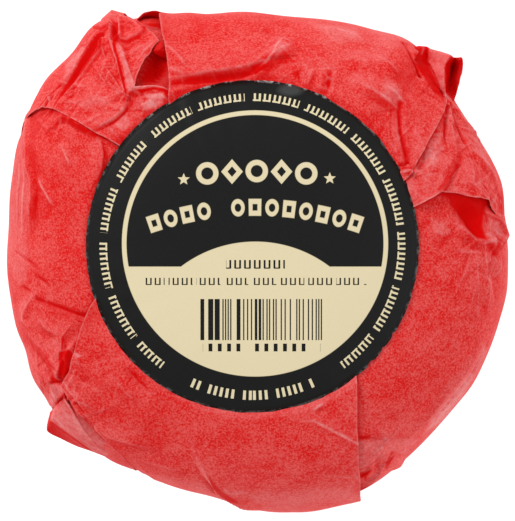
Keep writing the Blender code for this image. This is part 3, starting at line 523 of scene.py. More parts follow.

# Each side of the sheet: name, height over the ball, extra height of its free ends, seed of its small
# creases, columns and rows of its net, its two edges, folds, patches of painted shade and sheen, and the
# edges that lie over it, beside which shadow is painted
SHEETS = (
    Sheet("side_left", 0.25, 0.0, 11, 250, 260, LEFT_TOP_EDGE, LEFT_LOW_EDGE, LEFT_FOLDS, LEFT_HOLLOWS,
          (UPPER_LEFT_LOW_EDGE, BOTTOM_LEFT_EDGE)),
    Sheet("side_right", 0.25, 0.0, 12, 270, 270, RIGHT_LOW_EDGE, RIGHT_TOP_EDGE, RIGHT_FOLDS, RIGHT_HOLLOWS,
          (UPPER_RIGHT_LOW_EDGE, BOTTOM_RIGHT_EDGE)),
    Sheet("side_upper_right", 0.6, 0.4, 13, 220, 250, UPPER_RIGHT_LOW_EDGE, UPPER_RIGHT_TOP_EDGE,
          UPPER_RIGHT_FOLDS, UPPER_RIGHT_HOLLOWS, (TOP_RIGHT_EDGE,)),
    Sheet("side_upper_left", 0.7, 0.5, 14, 300, 290, UPPER_LEFT_TOP_EDGE, UPPER_LEFT_LOW_EDGE,
          UPPER_LEFT_FOLDS, UPPER_LEFT_HOLLOWS, (TOP_LEFT_EDGE,)),
    Sheet("flap_top", 1.0, 0.5, 16, 280, 250, TOP_RIGHT_EDGE, TOP_LEFT_EDGE, TOP_FOLDS, TOP_HOLLOWS, ()),
    Sheet("flap_bottom", 1.0, 0.5, 17, 280, 250, BOTTOM_LEFT_EDGE, BOTTOM_RIGHT_EDGE, BOTTOM_FOLDS,
          BOTTOM_HOLLOWS, ()),
)

# Slack paper that stands out from the ball, as rows of places from one end of each ear to the other.
# A row runs from the crown's side out over the ear and down to the ball again. The last number is a
# tone, from pale at minus one, painted highlight with wear, to painted shade in deep red at one.
EARS = (
    Ear("ear_upper_right", 31, 112, 90, 60, EAR_UPPER_RIGHT_HOLLOWS, (
        ((37.8, 31.2, 49, 0), (38.2, 31.6, 48.5, 1), (38.2, 31.6, 48.4, -0.25), (38.5, 31.9, 48, 0),
         (39.2, 31.8, 47, 0), (39.9, 31.6, 45, 0), (40.2, 31.4, 40, 0), (40, 31.2, 32, 0)),
        ((38.3, 33.2, 51.6, 1), (38.9, 34.1, 50.6, 1), (38.9, 34.1, 50.7, -0.25), (39.1, 34.4, 51, -0.6),
         (40.2, 34, 49.5, -0.8), (41.3, 33.4, 47.5, -0.8), (41.5, 33, 40, 0), (40.3, 32, 24, 0)),
        ((36.4, 35, 53.2, 1), (38.4, 35.9, 49.8, 1), (38.5, 35.9, 50, -0.25), (38.9, 36.1, 51, -0.4),
         (40.4, 36.1, 45, 1), (41.9, 35.8, 47, 0.3), (42, 35, 32, 0), (39.7, 32.8, 18, 0)),
        ((34.1, 38.2, 53.5, 1), (37.2, 39.1, 48, 1), (37.5, 39, 48.4, -0.25), (39, 38.6, 50.5, -0.3),
         (40.8, 38.6, 42.5, 0.7), (42.8, 38.8, 46.5, -0.7), (42.6, 37.7, 30, 0), (38.7, 34, 16, 0)),
        ((32.5, 41.9, 51, 1), (35.7, 42.3, 45, 1), (36.2, 42.1, 45.5, -0.25), (39.3, 40.8, 48.5, -0.2),
         (41.3, 41.1, 41, 1), (43.3, 41.5, 46, -0.3), (42.7, 40.6, 30, 0), (37.4, 35.4, 15, 0)),
        ((31.9, 45.2, 46, 1), (35.5, 45.1, 44, 1), (36.2, 44.9, 44.1, -0.25), (40.4, 43.4, 45, -0.2),
         (41.3, 42.9, 42.5, 1), (42.4, 42.7, 44, 0.5), (41.7, 42, 30, 0), (36.4, 36.4, 15, 0)),
        ((30.5, 41, 24, 0), (32.5, 40.2, 20, 1), (32.7, 40, 19.7, -0.25), (34, 39, 18, 0),
         (35.2, 38, 17, 0), (36, 37.2, 16, 0), (36.3, 36.6, 15, 0), (36.2, 36.4, 14, 0)),
    )),
    Ear("ear_lower_left", 32, 108, 90, 60, EAR_LOWER_LEFT_HOLLOWS, (
        ((-39.9, -27.4, 53, 0.3), (-40.2, -28.6, 55, -0.4), (-41.7, -30, 51, 0), (-43, -31.3, 46, -0.5),
         (-43.2, -31.4, 45.3, 0.95), (-43.9, -32.1, 42, 0.3), (-42.4, -30.5, 30, 0)),
        ((-38.7, -29.9, 53.2, 0.2), (-39.3, -29.8, 55, -0.5), (-41.3, -31.7, 50.5, -0.1),
         (-43.5, -33.7, 44.5, -0.5), (-43.7, -34.1, 43.7, 0.95), (-44.7, -36.1, 40, 0.9),
         (-40.3, -33.7, 24, 0)),
        ((-37, -31.8, 53.4, 0), (-38, -32.3, 54.2, -0.5), (-39.9, -34.2, 49.5, -0.1),
         (-41.4, -35.5, 45, -0.5), (-41.4, -36, 43.8, 0.95), (-41.6, -38, 38.5, 0.9), (-38.2, -36.1, 24, 0)),
        ((-35, -34.2, 52.4, 0), (-36.2, -35.6, 52, -0.4), (-37.6, -37, 48, 0), (-38.4, -38.1, 44.5, -0.5),
         (-38.4, -38.4, 43.1, 0.95), (-38.5, -39.6, 37, 0.9), (-35.5, -37.6, 24, 0)),
        ((-32.1, -37.6, 51.2, 0), (-34.6, -37.5, 50.3, -0.3), (-35.2, -38.5, 47.5, 0), (-35.4, -40, 44, -0.5),
         (-35.4, -40.1, 42.6, 0.95), (-35.5, -40.7, 36, 0.8), (-33.2, -39.4, 24, 0)),
        ((-28.4, -40.2, 49.6, 0), (-31, -39.4, 47.5, 0), (-31.3, -40.4, 46, 0), (-31.6, -41.4, 43, -0.5),
         (-31.6, -41.5, 41.7, 0.95), (-31.7, -42.2, 36, 0.6), (-30.2, -40.8, 24, 0)),
        ((-25.2, -41.6, 48.4, 0), (-26.2, -43.2, 45, 0), (-26.1, -43.9, 43, 0), (-26, -44.4, 41, -0.5),
         (-26, -44.5, 40.1, 0.95), (-25.9, -44.9, 36, 0.5), (-25, -43, 24, 0)),
    )),
    Ear("ear_top", 33, 60, 60, 30, EAR_TOP_HOLLOWS, (
        ((-18.2, 45, 54, 0), (-18.5, 49.5, 48, 0.6), (-18.6, 51, 45, 0), (-18.6, 50.4, 26, 0)),
        ((-20.7, 46.6, 55, 0), (-21.2, 50.8, 44, 1), (-20.6, 52.2, 47.5, -0.3), (-20.7, 51, 26, 0)),
        ((-23, 48, 53, 0), (-22.7, 51, 43, 1), (-22, 52.4, 47.5, -0.4), (-22.4, 51.1, 26, 0)),
        ((-24.3, 48.8, 51.5, 0), (-24.2, 51, 43, 1), (-23.9, 51.9, 47, -0.4), (-24, 51, 26, 0)),
        ((-25.9, 49.3, 50, 0), (-25.5, 50.4, 46, 0.6), (-25.6, 50.5, 45, 0), (-25.6, 50.6, 28, 0)),
    )),
    Ear("ear_peak", 35, 90, 90, 20, UPPER_LEFT_HOLLOWS, (
        ((-33.0, 47, 50.2, 0), (-30.8, 48.6, 50.8, 0), (-28, 49, 50.2, 0)),
        ((-33.1, 51.0, 42, 0), (-30.9, 52.9, 43, 0), (-28.2, 52.1, 43, 0)),
        ((-32.3, 52.1, 33, 0), (-30.7, 52.9, 34, 0), (-28.0, 52.6, 34, 0)),
        ((-30.6, 49.8, 20, 0), (-29.2, 50.6, 20, 0), (-27, 50.8, 20, 0)),
    )),
    Ear("tuck_lip", 34, 50, 30, 4, LIP_HOLLOWS, (
        ((-21.5, 43, 60.2, 0.6), (-20.9, 42.6, 60.5, 0.9), (-20, 42.1, 60.4, 1), (-19.1, 41.7, 60.2, 1),
         (-17.8, 41.2, 59.6, 1)),
        ((-21.6, 43.2, 60.2, 0.5), (-20.9, 43.4, 61, 0.6), (-20, 43.4, 61.1, 0.7), (-19.1, 43, 60.9, 0.8),
         (-17.8, 42.6, 60.2, 0.8)),
        ((-21.7, 43.4, 59.6, 0.4), (-20.9, 44.3, 60, 0), (-20, 45.2, 60, 0), (-19.1, 44.8, 59.9, 0.2),
         (-17.8, 44, 59.6, 0.3)),
    )),
)

# Where the paper is crumpled, in pixels, and how strongly
ZONES = (
    Zone(120, 70, 50, 0.45),
    Zone(150, 98, 20, 0.5),
    Zone(108, 30, 30, 0.5),
    Zone(60, 95, 40, 0.6),
    Zone(60, 380, 45, 1.0),
    Zone(85, 425, 35, 0.8),
    Zone(452, 110, 40, 0.6),
    Zone(490, 235, 40, 1.1),
    Zone(480, 290, 40, 0.5),
    Zone(375, 460, 35, 0.9),
    Zone(405, 150, 35, 0.6),
    Zone(300, 75, 45, 0.5),
    Zone(425, 70, 35, 0.8),
)
QUIET_STRENGTH = 0.09

# Small random creases: half length, widths of the steep and the gentle slope, height, the width of the
# line along each, worn pale on a ridge and painted shade in a valley, and how much they calm down round the
# rim
CRUMPLE_HALF = (1.5, 7.0)
CRUMPLE_STEEP = (0.25, 0.6)
CRUMPLE_GENTLE = (1.0, 3.2)
CRUMPLE_HEIGHT = (0.06, 0.34)
CRUMPLE_LINE = 0.2
RIM_HEIGHT = 37.0
RIM_REACH = 6.0
RIM_CALM = 0.75

# A placed crease keeps its full height between these shares of its length, and its line is this wide
FULL_FROM = 0.35
FULL_TO = 0.65
CREASE_LINE = 0.26
# How strong the painted shade is along a valley's line
CREASE_SHADE = 0.85

# Slow swells of the paper: height, angle per millimetre along the axes, and the angles they start at
SWELL_HEIGHT = 0.12
SWELL_X = 0.21
SWELL_Y = 0.17
SWELL_Z = 0.29
SWELL_SLANT = 0.11
SWELL_START = (1.3, -0.4)

# Painted shade in hollows and painted sheen fade out on the way down the ball, between these heights
HOLLOW_LOW = MIDDLE_HEIGHT * 0.75
HOLLOW_HIGH = MIDDLE_HEIGHT * 1.2

# The side that the soft light comes from: a crease's slope turned to it is painted paler as highlight, and
# one turned away is painted deeper red as shade, held to these most values and less where the crest is worn
LIT_SIDE = np.array([-0.468, 0.884, 0.0])
MOST_TURNED_HIGHLIGHT = 0.25
TURNED_SHADE = 2.2
MOST_TURNED_SHADE = 0.75
WORN_HIDES = 1.5

# The net of the closed body, and the heights over which it sinks away under the sheets and is pressed
# flat at the foot
CORE_SEGMENTS = 300
CORE_RINGS = 150
CORE_SEED = 5
CORE_SINK = 0.6
SINK_HEIGHTS = (38.0, 48.0)
FOOT_HEIGHTS = (0.5, 9.0)

# The rows of a side of the sheet are closest above the ball's middle
FINE_ROWS = 0.74
FINE_RUN = 0.54

# Free ends of a side: the width of their pale wear, the reach of their curl, and the painted shadow, deeper
# red, beside an edge that lies over the side, which fades towards the rim
EDGE_WEAR = 0.5
EDGE_WIDTH = 0.22
LOW_WEAR = 0.3
CURL_REACH = 2.5
OVERHANG_SHADOW = 0.85
OVERHANG_REACH = 0.9
OVERHANG_FADE = 12

# Sides stand clear of the ball near the crown, lie close lower down and are tucked in at the foot
STAND_HEIGHTS = (34.0, 54.0)
LOW_STANDING = 0.25
GROUND_HEIGHTS = (3.0, 16.0)
LOW_LIFT = 0.1
FOOT_TUCK = 0.3
COVERED_LIFT = 0.35
LOWEST_SHEET = 0.05
LABEL_MARGIN = 1.2
EAR_ROUNDING = 0.7


def fold_effect(points, normals, crease):
    """Height that one crease adds at each point, how far its crest is, and how full it stands there."""
    places = on_ball(np.array(crease.points))[0]
    spans = list(zip(places, places[1:]))
    lengths = [max(float(np.linalg.norm(b - a)), TINY) for a, b in spans]
    nearest = np.full(len(points), np.inf)
    lean = np.zeros(len(points))
    along = np.zeros(len(points))
    travelled = 0.0
    for (a, b), length in zip(spans, lengths):
        direction = (b - a) / length
        offset = points - a
        reach = np.clip(offset @ direction, 0, length)
        distance = np.linalg.norm(offset - reach[:, None] * direction, axis=1)
        tilt = np.einsum("ij,ij->i", np.cross(direction, offset), normals)
        tied = np.abs(distance - nearest) <= TINY
        closer = (distance < nearest - TINY) | (tied & (np.abs(tilt) > np.abs(lean)))
        nearest = np.where(closer, distance, nearest)
        lean = np.where(closer, tilt, lean)
        along = np.where(closer, (travelled + reach) / sum(lengths), along)
        travelled += length
    share = np.interp(along, [0, FULL_FROM, FULL_TO, 1], [crease.start, 1, 1, crease.end])
    width = np.where(lean > 0, crease.left, crease.right)
    return crease.height * share * np.clip(1 - nearest / width, 0, None), nearest, share


def crumple(points, normals, seed, count):
    """Small random creases, each steep on one side, strong where the paper was squeezed, with a worn pale
    line on a ridge and a line of painted shade in a valley.
    """
    rng = np.random.default_rng(seed)
    centres = on_ball(np.array([seen(zone.x, zone.y) for zone in ZONES]))[0]
    reaches = np.array([zone.reach for zone in ZONES]) / FOCAL_PIXELS * CAMERA_HEIGHT
    strengths = np.array([zone.strength for zone in ZONES])
    height = np.zeros(len(points))
    worn = np.zeros(len(points))
    deep = np.zeros(len(points))
    for number in range(count):
        middle = points[rng.integers(len(points))]
        normal = normals[np.argmin(np.einsum("ij,ij->i", points - middle, points - middle))]
        near = np.exp(-(np.linalg.norm(centres - middle, axis=1) / reaches) ** 2) * strengths
        strength = QUIET_STRENGTH + float(near.max())
        across = rng.normal(size=3)
        across -= normal * (across @ normal)
        across /= max(float(np.linalg.norm(across)), TINY)
        ahead = np.cross(normal, across)
        half = rng.uniform(*CRUMPLE_HALF)
        steep = rng.uniform(*CRUMPLE_STEEP)
        gentle = rng.uniform(*CRUMPLE_GENTLE)
        size = rng.uniform(*CRUMPLE_HEIGHT) * rng.choice((-1, 1)) * strength
        offset = points - middle
        near_by = np.einsum("ij,ij->i", offset, offset) < (half + gentle) ** 2
        offset = offset[near_by]
        run = np.abs(offset @ ahead) / half
        apart = offset @ across
        slope = np.clip(1 - np.abs(apart) / np.where(apart > 0, gentle, steep), 0, None)
        height[near_by] += size * (np.clip(1 - run ** 2, 0, None) * slope)
        line = abs(size) * 2 * np.clip(1 - run, 0, None) * np.exp(-(apart / CRUMPLE_LINE) ** 2)
        if size > 0:
            worn[near_by] += line
        else:
            deep[near_by] += line
    rim = np.exp(-((points[:, 2] - RIM_HEIGHT) / RIM_REACH) ** 2)
    return height * (1 - RIM_CALM * rim), worn, deep


def unevenness(points):
    """Slow swells of paper that isn't quite taut."""
    x, y, z = points.T
    swell = np.sin(x * SWELL_X + SWELL_START[0]) * np.sin(y * SWELL_Y + SWELL_START[1])
    return SWELL_HEIGHT * (swell + np.sin(z * SWELL_Z + x * SWELL_SLANT))


def relief_of(folds, points, normals, seed, count):
    """Height, worn crests and painted shade in the valleys of a set of creases together with its crumple."""
    height, worn, deep = crumple(points, normals, seed, count)
    height += unevenness(points)
    for crease in folds:
        added, nearest, share = fold_effect(points, normals, crease)
        height += added
        line = share * np.exp(-(nearest / CREASE_LINE) ** 2)
        if crease.height > 0:
            worn += crease.worn * line
        else:
            # Painted shade along a valley, stronger where it is deeper
            deep += CREASE_SHADE * line - added / 2
    return height, np.clip(worn, 0, 1), np.clip(deep, 0, 1)


def on_photo(points):
    """Pixels that places in millimetres about the ball's axis fall on."""
    scale = FOCAL_PIXELS / (CAMERA_HEIGHT - points[:, 2])
    return np.stack([PHOTO_WIDE / 2 + points[:, 0] * scale, PHOTO_HIGH / 2 - points[:, 1] * scale], axis=-1)


def distance_to(points, a, b):
    """Distance of points from the straight run between two of them, on a plane or in space."""
    run = b - a
    share = np.clip((points - a) @ run / (run @ run), 0, 1)
    return np.linalg.norm(points - a - share[:, None] * run, axis=1)


def inside(pixels, corners):
    """How far each pixel lies inside a polygon, and below zero outside it."""
    corners = np.array(corners, dtype=float)
    nearest = np.full(len(pixels), np.inf)
    within = np.zeros(len(pixels), dtype=bool)
    for a, b in zip(corners, np.roll(corners, -1, axis=0)):
        run = b - a
        nearest = np.minimum(nearest, distance_to(pixels, a, b))
        crosses = (a[1] > pixels[:, 1]) != (b[1] > pixels[:, 1])
        level = run[1] if abs(run[1]) > NO_LENGTH else NO_LENGTH
        within ^= crosses & (pixels[:, 0] < run[0] * (pixels[:, 1] - a[1]) / level + a[0])
    return np.where(within, nearest, -nearest)


def shade_of(hollows, points):
    """Painted shade, deeper red, in hollows, and painted sheen, a pale haze, by the pixel that each place
    stands at.
    """
    pixels = on_photo(points)
    upper = smooth_step(points[:, 2], HOLLOW_LOW, HOLLOW_HIGH)
    shade = np.zeros(len(points))
    painted_sheen = np.zeros(len(points))
    for patch in hollows:
        depth = smooth_step(inside(pixels, patch.corners), -patch.softness / 2, patch.softness) * upper
        shade = np.maximum(shade, patch.strength * depth)
        painted_sheen = np.maximum(painted_sheen, -patch.strength * depth)
    return shade, painted_sheen * (1 - shade)


def shade_beside(edges, points):
    """Painted shadow, deeper red, beside the free edge of a sheet that lies above."""
    shade = np.zeros(len(points))
    for edge in edges:
        places = on_ball(np.array(edge))[0]
        nearest = np.full(len(points), np.inf)
        for a, b in zip(places, places[1:]):
            nearest = np.minimum(nearest, distance_to(points, a, b))
        shade = np.maximum(shade, OVERHANG_SHADOW * np.exp(-(nearest / OVERHANG_REACH) ** 2))
    return shade


def blend(values, where, softness):
    """Values between control values: straight runs, rounded by softness."""
    last = len(values) - 1
    low = np.clip(np.floor(where).astype(int), 0, last - 1)
    share = (where - low).reshape(-1, *([1] * (values.ndim - 1)))
    a, b = values[low], values[low + 1]
    before = values[np.maximum(low - 1, 0)]
    after = values[np.minimum(low + 2, last)]
    rounded = 0.5 * (2 * a + (b - before) * share + (2 * before - 5 * a + 4 * b - after) * share ** 2
                     + (3 * a - before - 3 * b + after) * share ** 3)
    straight = a + (b - a) * share
    return straight * (1 - softness) + rounded * softness


def under_label(points):
    """One where paper lies under the label and zero clear of it."""
    apart = np.hypot(points[:, 0] - LABEL_CENTRE[0], points[:, 1] - LABEL_CENTRE[1])
    covered = 1 - smooth_step(apart, LABEL_RADIUS - LABEL_MARGIN, LABEL_RADIUS + LABEL_MARGIN)
    return np.where(points[:, 2] > MIDDLE_HEIGHT, covered, 0)


def along_path(points, shares):
    """Points of a line at shares of its length."""
    points = np.array(points)
    steps = np.concatenate([[0], np.cumsum(np.linalg.norm(np.diff(points, axis=0), axis=1))])
    where = np.asarray(shares) * steps[-1]
    return np.stack([np.interp(where, steps, points[:, axis]) for axis in (0, 1)], axis=-1)


def deselect_all():
    if bpy.context.object and bpy.context.object.mode != "OBJECT":
        bpy.ops.object.mode_set(mode="OBJECT")
    bpy.ops.object.select_all(action="DESELECT")


def read_vertices(piece, what="co"):
    """Places of a piece's vertices, or their normals."""
    numbers = np.empty(len(piece.data.vertices) * 3)
    piece.data.vertices.foreach_get(what, numbers)
    return numbers.reshape(-1, 3)


def write_points(piece, points, worn, deep, plain=0.0):
    """Sets every vertex, from millimetres about the ball's axis, with its wear and painted highlight and its
    painted shade.

    A painted highlight makes the paper paler where a crease turns it to the light, and painted shade makes it
    deeper red where it turns it away.
    """
    placed = (points + np.array([SHIFT_X, SHIFT_Y, 0])) * MM
    piece.data.vertices.foreach_set("co", placed.ravel())
    piece.data.update()
    # A crease turned to the soft light gets painted highlight, and one turned away gets painted shade
    turned = (read_vertices(piece, "normal") - plain) @ LIT_SIDE
    turned_shade = np.clip(-turned * TURNED_SHADE, 0, MOST_TURNED_SHADE) * np.clip(1 - WORN_HIDES * worn, 0, 1)
    deep = np.clip(deep + turned_shade, 0, 1)
    worn = np.clip(worn + np.clip(turned, 0, MOST_TURNED_HIGHLIGHT) * (1 - deep), 0, 1)
    for name, values in (("worn", worn), ("deep", deep)):
        layer = piece.data.attributes.new(name, "FLOAT", "POINT")
        layer.data.foreach_set("value", values.astype(np.float32))
    piece.data.update()


def apply_modifier(piece, kind, **settings):
    modifier = piece.modifiers.new(kind.title(), kind)
    for name, value in settings.items():
        setattr(modifier, name, value)
    bpy.ops.object.modifier_apply(modifier=modifier.name)


def finish_piece(piece, name, finish=PAPER_FINISH, node="paper_wrap"):
    """Names a piece, smooths it, gives it its finish and ties it to the frame."""
    piece.name = name
    piece.data.name = name
    piece.data.materials.clear()
    piece.data.materials.append(bpy.data.materials[finish])
    bpy.ops.object.shade_smooth()
    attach(piece, "root")
    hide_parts(node)


class Wire:
    """One output of a shader node, on which the usual sums can be written."""

    def __init__(self, graph, socket):
        self.graph = graph
        self.socket = socket

    def sum(self, operation, *others):
        return self.graph.math(operation, self, *others)

    def __add__(self, other):
        return self.sum("ADD", other)

    def __sub__(self, other):
        return self.sum("SUBTRACT", other)

    def __mul__(self, other):
        return self.sum("MULTIPLY", other)

    def __truediv__(self, other):
        return self.sum("DIVIDE", other)

    def __radd__(self, other):
        return self.graph.math("ADD", other, self)

    def __rsub__(self, other):
        return self.graph.math("SUBTRACT", other, self)

    def __rmul__(self, other):
        return self.graph.math("MULTIPLY", other, self)

    def __rtruediv__(self, other):
        return self.graph.math("DIVIDE", other, self)

    def below(self, limit):
        return self.sum("LESS_THAN", limit)

    def above(self, limit):
        return self.sum("GREATER_THAN", limit)

    def size(self):
        return self.sum("ABSOLUTE")

    def most(self, other):
        return self.sum("MAXIMUM", other)

    def cut(self):
        return self.graph.node("ShaderNodeClamp", {}, {"Value": self})


class Graph:
    """A material's nodes, added by type, settings and socket values."""

    def __init__(self, name):
        self.material = bpy.data.materials.new(name)
        self.material.use_nodes = True
        self.tree = self.material.node_tree
        self.shader = self.tree.nodes["Principled BSDF"]

    def node(self, kind, settings, values, output=0):
        made = self.tree.nodes.new(kind)
        for name, value in settings.items():
            setattr(made, name, value)
        for name, value in values.items():
            self.feed(made.inputs[name], value)
        return Wire(self, made.outputs[output])

    def feed(self, socket, value):
        if isinstance(value, Wire):
            self.tree.links.new(value.socket, socket)
        else:
            socket.default_value = value

    def math(self, operation, *values):
        return self.node("ShaderNodeMath", {"operation": operation}, dict(enumerate(values)))

    def mix(self, factor, first, second):
        """A colour between two colours."""
        made = self.tree.nodes.new("ShaderNodeMix")
        made.data_type = "RGBA"
        self.feed(made.inputs[0], factor)
        self.feed(made.inputs[6], first)
        self.feed(made.inputs[7], second)
        return Wire(self, made.outputs[2])

    def noise(self, where, scale, detail, roughness):
        return self.node("ShaderNodeTexNoise", {},
                         {"Vector": where, "Scale": scale, "Detail": detail, "Roughness": roughness})

    def span(self, value, low, high, first=0.0, last=1.0):
        """A value stretched from one range to another and held inside it."""
        return self.node("ShaderNodeMapRange", {}, {
            "Value": value, "From Min": low, "From Max": high, "To Min": first, "To Max": last})

    def set(self, name, value):
        self.feed(self.shader.inputs[name], value)


# Patterns of the paper, each by its scale, detail and roughness
FIBRE = (2500.0, 3.0, 0.65)
BLOT = (950.0, 3.0, 0.6)
CLOUD = (210.0, 2.0, 0.5)
SCUFF = (900.0, 3.0, 0.7)
COCKLE = (420.0, 2.0, 0.6)
# How much of the mottle is fibre, blot and cloud, and the range of their sum that is stretched
FIBRE_SHARE = 0.62
BLOT_SHARE = 0.2
CLOUD_SHARE = 0.18
MOTTLE_LOW = 0.43
MOTTLE_HIGH = 0.585
SCUFF_SPAN = (0.3, 0.62, 0.25, 1.0)
PAPER_ROUGHNESS = (0.3, 0.7, 0.56, 0.7)
PAPER_SPECULAR = 0.05
WAX_COAT = 0.14
WAX_ROUGHNESS = 0.45
FIBRE_RELIEF = 0.5
BLOT_RELIEF = 0.8
PAPER_BUMP = 0.35
PAPER_BUMP_DEPTH = 0.00022


def paper_material(settings):
    """Waxed red tissue: blotted fibres, pale worn crests with painted highlight and sheen, painted shade in
    folds and hollows, and a soft sheen.
    """
    graph = Graph(PAPER_FINISH)
    where = graph.node("ShaderNodeTexCoord", {}, {}, "Object")
    worn = graph.node("ShaderNodeAttribute", {"attribute_name": "worn"}, {}, "Fac")
    deep = graph.node("ShaderNodeAttribute", {"attribute_name": "deep"}, {}, "Fac")
    fibre = graph.noise(where, *FIBRE)
    blot = graph.noise(where, *BLOT)
    cloud = graph.noise(where, *CLOUD)
    mixed = fibre * FIBRE_SHARE + blot * BLOT_SHARE + cloud * CLOUD_SHARE
    mottle = graph.span(mixed, MOTTLE_LOW, MOTTLE_HIGH)
    red = graph.mix(mottle, (*settings.deep_red, 1), (*settings.pale_red, 1))
    # Painted shade: deeper red in folds, hollows and beside overlapping edges
    red = graph.mix(deep.cut(), red, (*settings.shade_red, 1))
    # Pale pink where crests are worn, and painted highlight and sheen
    crest = (worn * graph.span(graph.noise(where, *SCUFF), *SCUFF_SPAN)).cut()
    red = graph.mix(crest * settings.wear_and_highlight_mix, red, (*settings.wear_and_highlight_pink, 1))
    graph.set("Base Color", red)
    graph.set("Roughness", graph.span(blot, *PAPER_ROUGHNESS))
    graph.set("Specular IOR Level", PAPER_SPECULAR)
    graph.set("Coat Weight", WAX_COAT * (1 - deep.cut()))
    graph.set("Coat Roughness", WAX_ROUGHNESS)
    relief = fibre * FIBRE_RELIEF + blot * BLOT_RELIEF + graph.noise(where, *COCKLE)
    graph.set("Normal", graph.node("ShaderNodeBump", {}, {
        "Strength": PAPER_BUMP, "Distance": PAPER_BUMP_DEPTH, "Height": relief}))
    return graph.material


# The label's print, in millimetres from the label's middle
PRINT_SHIFT = (0.54, 0.56)
INK_EDGE = 0.06
RING_OUTER = 27.2
RING_WIDTH = 0.95
FIELD_TOP = -4.2
ARCH_RADIUS = 25.1
ARCH_CENTRE = (0.6, -24.2)
STARS = ((-14.0, 13.6), (15.8, 13.8))
STAR_OUTER = 1.28
STAR_INNER = 0.56
# The headline's five marks: its middle, their step, half size, sag at the ends, and share of hole
HEADLINE = (0.9, 15.3)
HEADLINE_MARKS = 5
HEADLINE_STEP = 5.05
HEADLINE_HALF = 2.55
HEADLINE_SAG = 0.12
LOZENGE_NARROW = 1.15
LOZENGE_HOLE = 0.42
RING_SIZE = 0.9
RING_HOLE = 0.48
# The second line's marks, on an arc given by its middle and radius
LINE_ARC = (0.54, -58.7, 66.6)
LINE_STEP = 3.48
LINE_HALF = 6.5
LINE_GAP = -2
LINE_HIGH = 2.2
BLOCK_FLAT = 0.74
BLOCK_HALF = 1.28
BLOCK_HOLE = 0.5
DISC_FLAT = 0.6
DISC_HALF = 1.38
DISC_HOLE = 0.66
# Strokes round the rim: step, share of stroke, word length and share of the word that has print
RIM_TEXT_RADIUS = 30.5
UPPER_STROKES = (1.02, 0.42, 11.3, 0.86)
UPPER_FOOT_STROKES = (2.04, 0.62, 11.3, 0.86)
UPPER_FOOT_SHIFT = 0.3
UPPER_FOOT = (0.62, 0.16)
UPPER_HALF = 0.8
UPPER_SPREAD = 143
LOWER_STROKES = (1.2, 0.5, 7.1, 0.8)
LOWER_HALF = 0.95
LOWER_START = 156
# Lines of small print on the cream: the same four numbers, then the middle and half sizes of the line
SMALL_PRINT = (
    ((1.0, 0.4, 20.0, 1.0), (0.64, -3.7, 6.0, 0.85)),
    ((2.0, 0.6, 20.0, 1.0), (0.64, -4.5, 6.0, 0.13)),
    ((0.92, 0.34, 5.7, 0.86), (0.68, -7.2, 22.6, 0.72)),
    ((1.84, 0.6, 5.7, 0.86), (0.68, -7.85, 22.6, 0.1)),
    ((1.9, 0.42, 12.9, 0.84), (1.9, -20.7, 12.0, 0.8)),
)
# The field of bars: its left, right, top and bottom, the width of the thinnest bar, and how many are inked
STRIPES = (-10.6, 14.4, -10.8, -19.2)
STRIPE_WIDTH = 0.264
STRIPE_SEED = (1.37, 4.0)
STRIPE_INKED = 0.52
# The printed paper's grain and its rubbed edge, by scale, detail and roughness
INK_GRAIN = (2600.0, 3.0, 0.7)
CHIPS = (700.0, 3.0, 0.7)
CHIP_SPAN = (0.5, 0.62)
FRAYED_RIM = (LABEL_RADIUS - 0.55, LABEL_RADIUS - 0.1)
FRAYED_TOP = (20.0, 34.0, 0.0, 1.0)
FRAYED_LEAST = 0.25
SMUDGE = (7.8, 32.0)
SMUDGE_SHAPE = (0.16, 0.7)
SMUDGE_SPAN = (0.6, 1.3, 0.07, 0.0)
SMUDGE_GREY = (0.7, 0.72, 0.72, 1)
INK_ROUGHNESS = (0.2, 0.8, 0.42, 0.56)
INK_SPECULAR = 0.2
INK_BUMP = 0.25
INK_BUMP_DEPTH = 0.00008


class Print:
    """Masks of the label's fields and marks, from millimetres across and up the label."""

    def __init__(self, graph):
        self.graph = graph
        where = graph.node("ShaderNodeTexCoord", {}, {}, "Object")
        parts = graph.tree.nodes.new("ShaderNodeSeparateXYZ")
        graph.feed(parts.inputs[0], where)
        self.where = where
        self.x = Wire(graph, parts.outputs[0]) / MM - (SHIFT_X + LABEL_CENTRE[0])
        self.y = Wire(graph, parts.outputs[1]) / MM - (SHIFT_Y + LABEL_CENTRE[1])

    def about(self, x, y):
        return self.x - x, self.y - y

    def polar(self, x, y):
        """Distance from a centre, and the angle clockwise from straight up, in radians."""
        across, up = self.about(x, y)
        distance = (across * across + up * up).sum("SQRT")
        return distance, self.graph.math("ARCTAN2", across, up)

    def box(self, x, y, half_wide, half_high):
        across, up = self.about(x, y)
        return across.size().below(half_wide) * up.size().below(half_high)

    def soft(self, value):
        """One where a value is below zero, with an inked edge as wide as a printed dot."""
        return self.graph.span(value, -INK_EDGE, INK_EDGE, 1.0, 0.0)

    def ticks(self, run, step, share, word, words):
        """Upright strokes in groups along a line, like lines of small print seen from afar."""
        stroke = ((run / step).sum("FRACT") - 0.5).size().below(share / 2)
        return stroke * (run / word).sum("FRACT").below(words)

    def star(self, x, y):
        distance, angle = self.polar(x, y)
        turn = math.tau / 5
        fold = (((angle / turn + 0.5 + 10).sum("FRACT")) - 0.5).size() * turn
        low = fold.sum("SINE") * STAR_OUTER + (turn / 2 - fold).sum("SINE") * STAR_INNER
        edge = STAR_OUTER * STAR_INNER * math.sin(turn / 2) / low
        return self.soft(distance - edge)


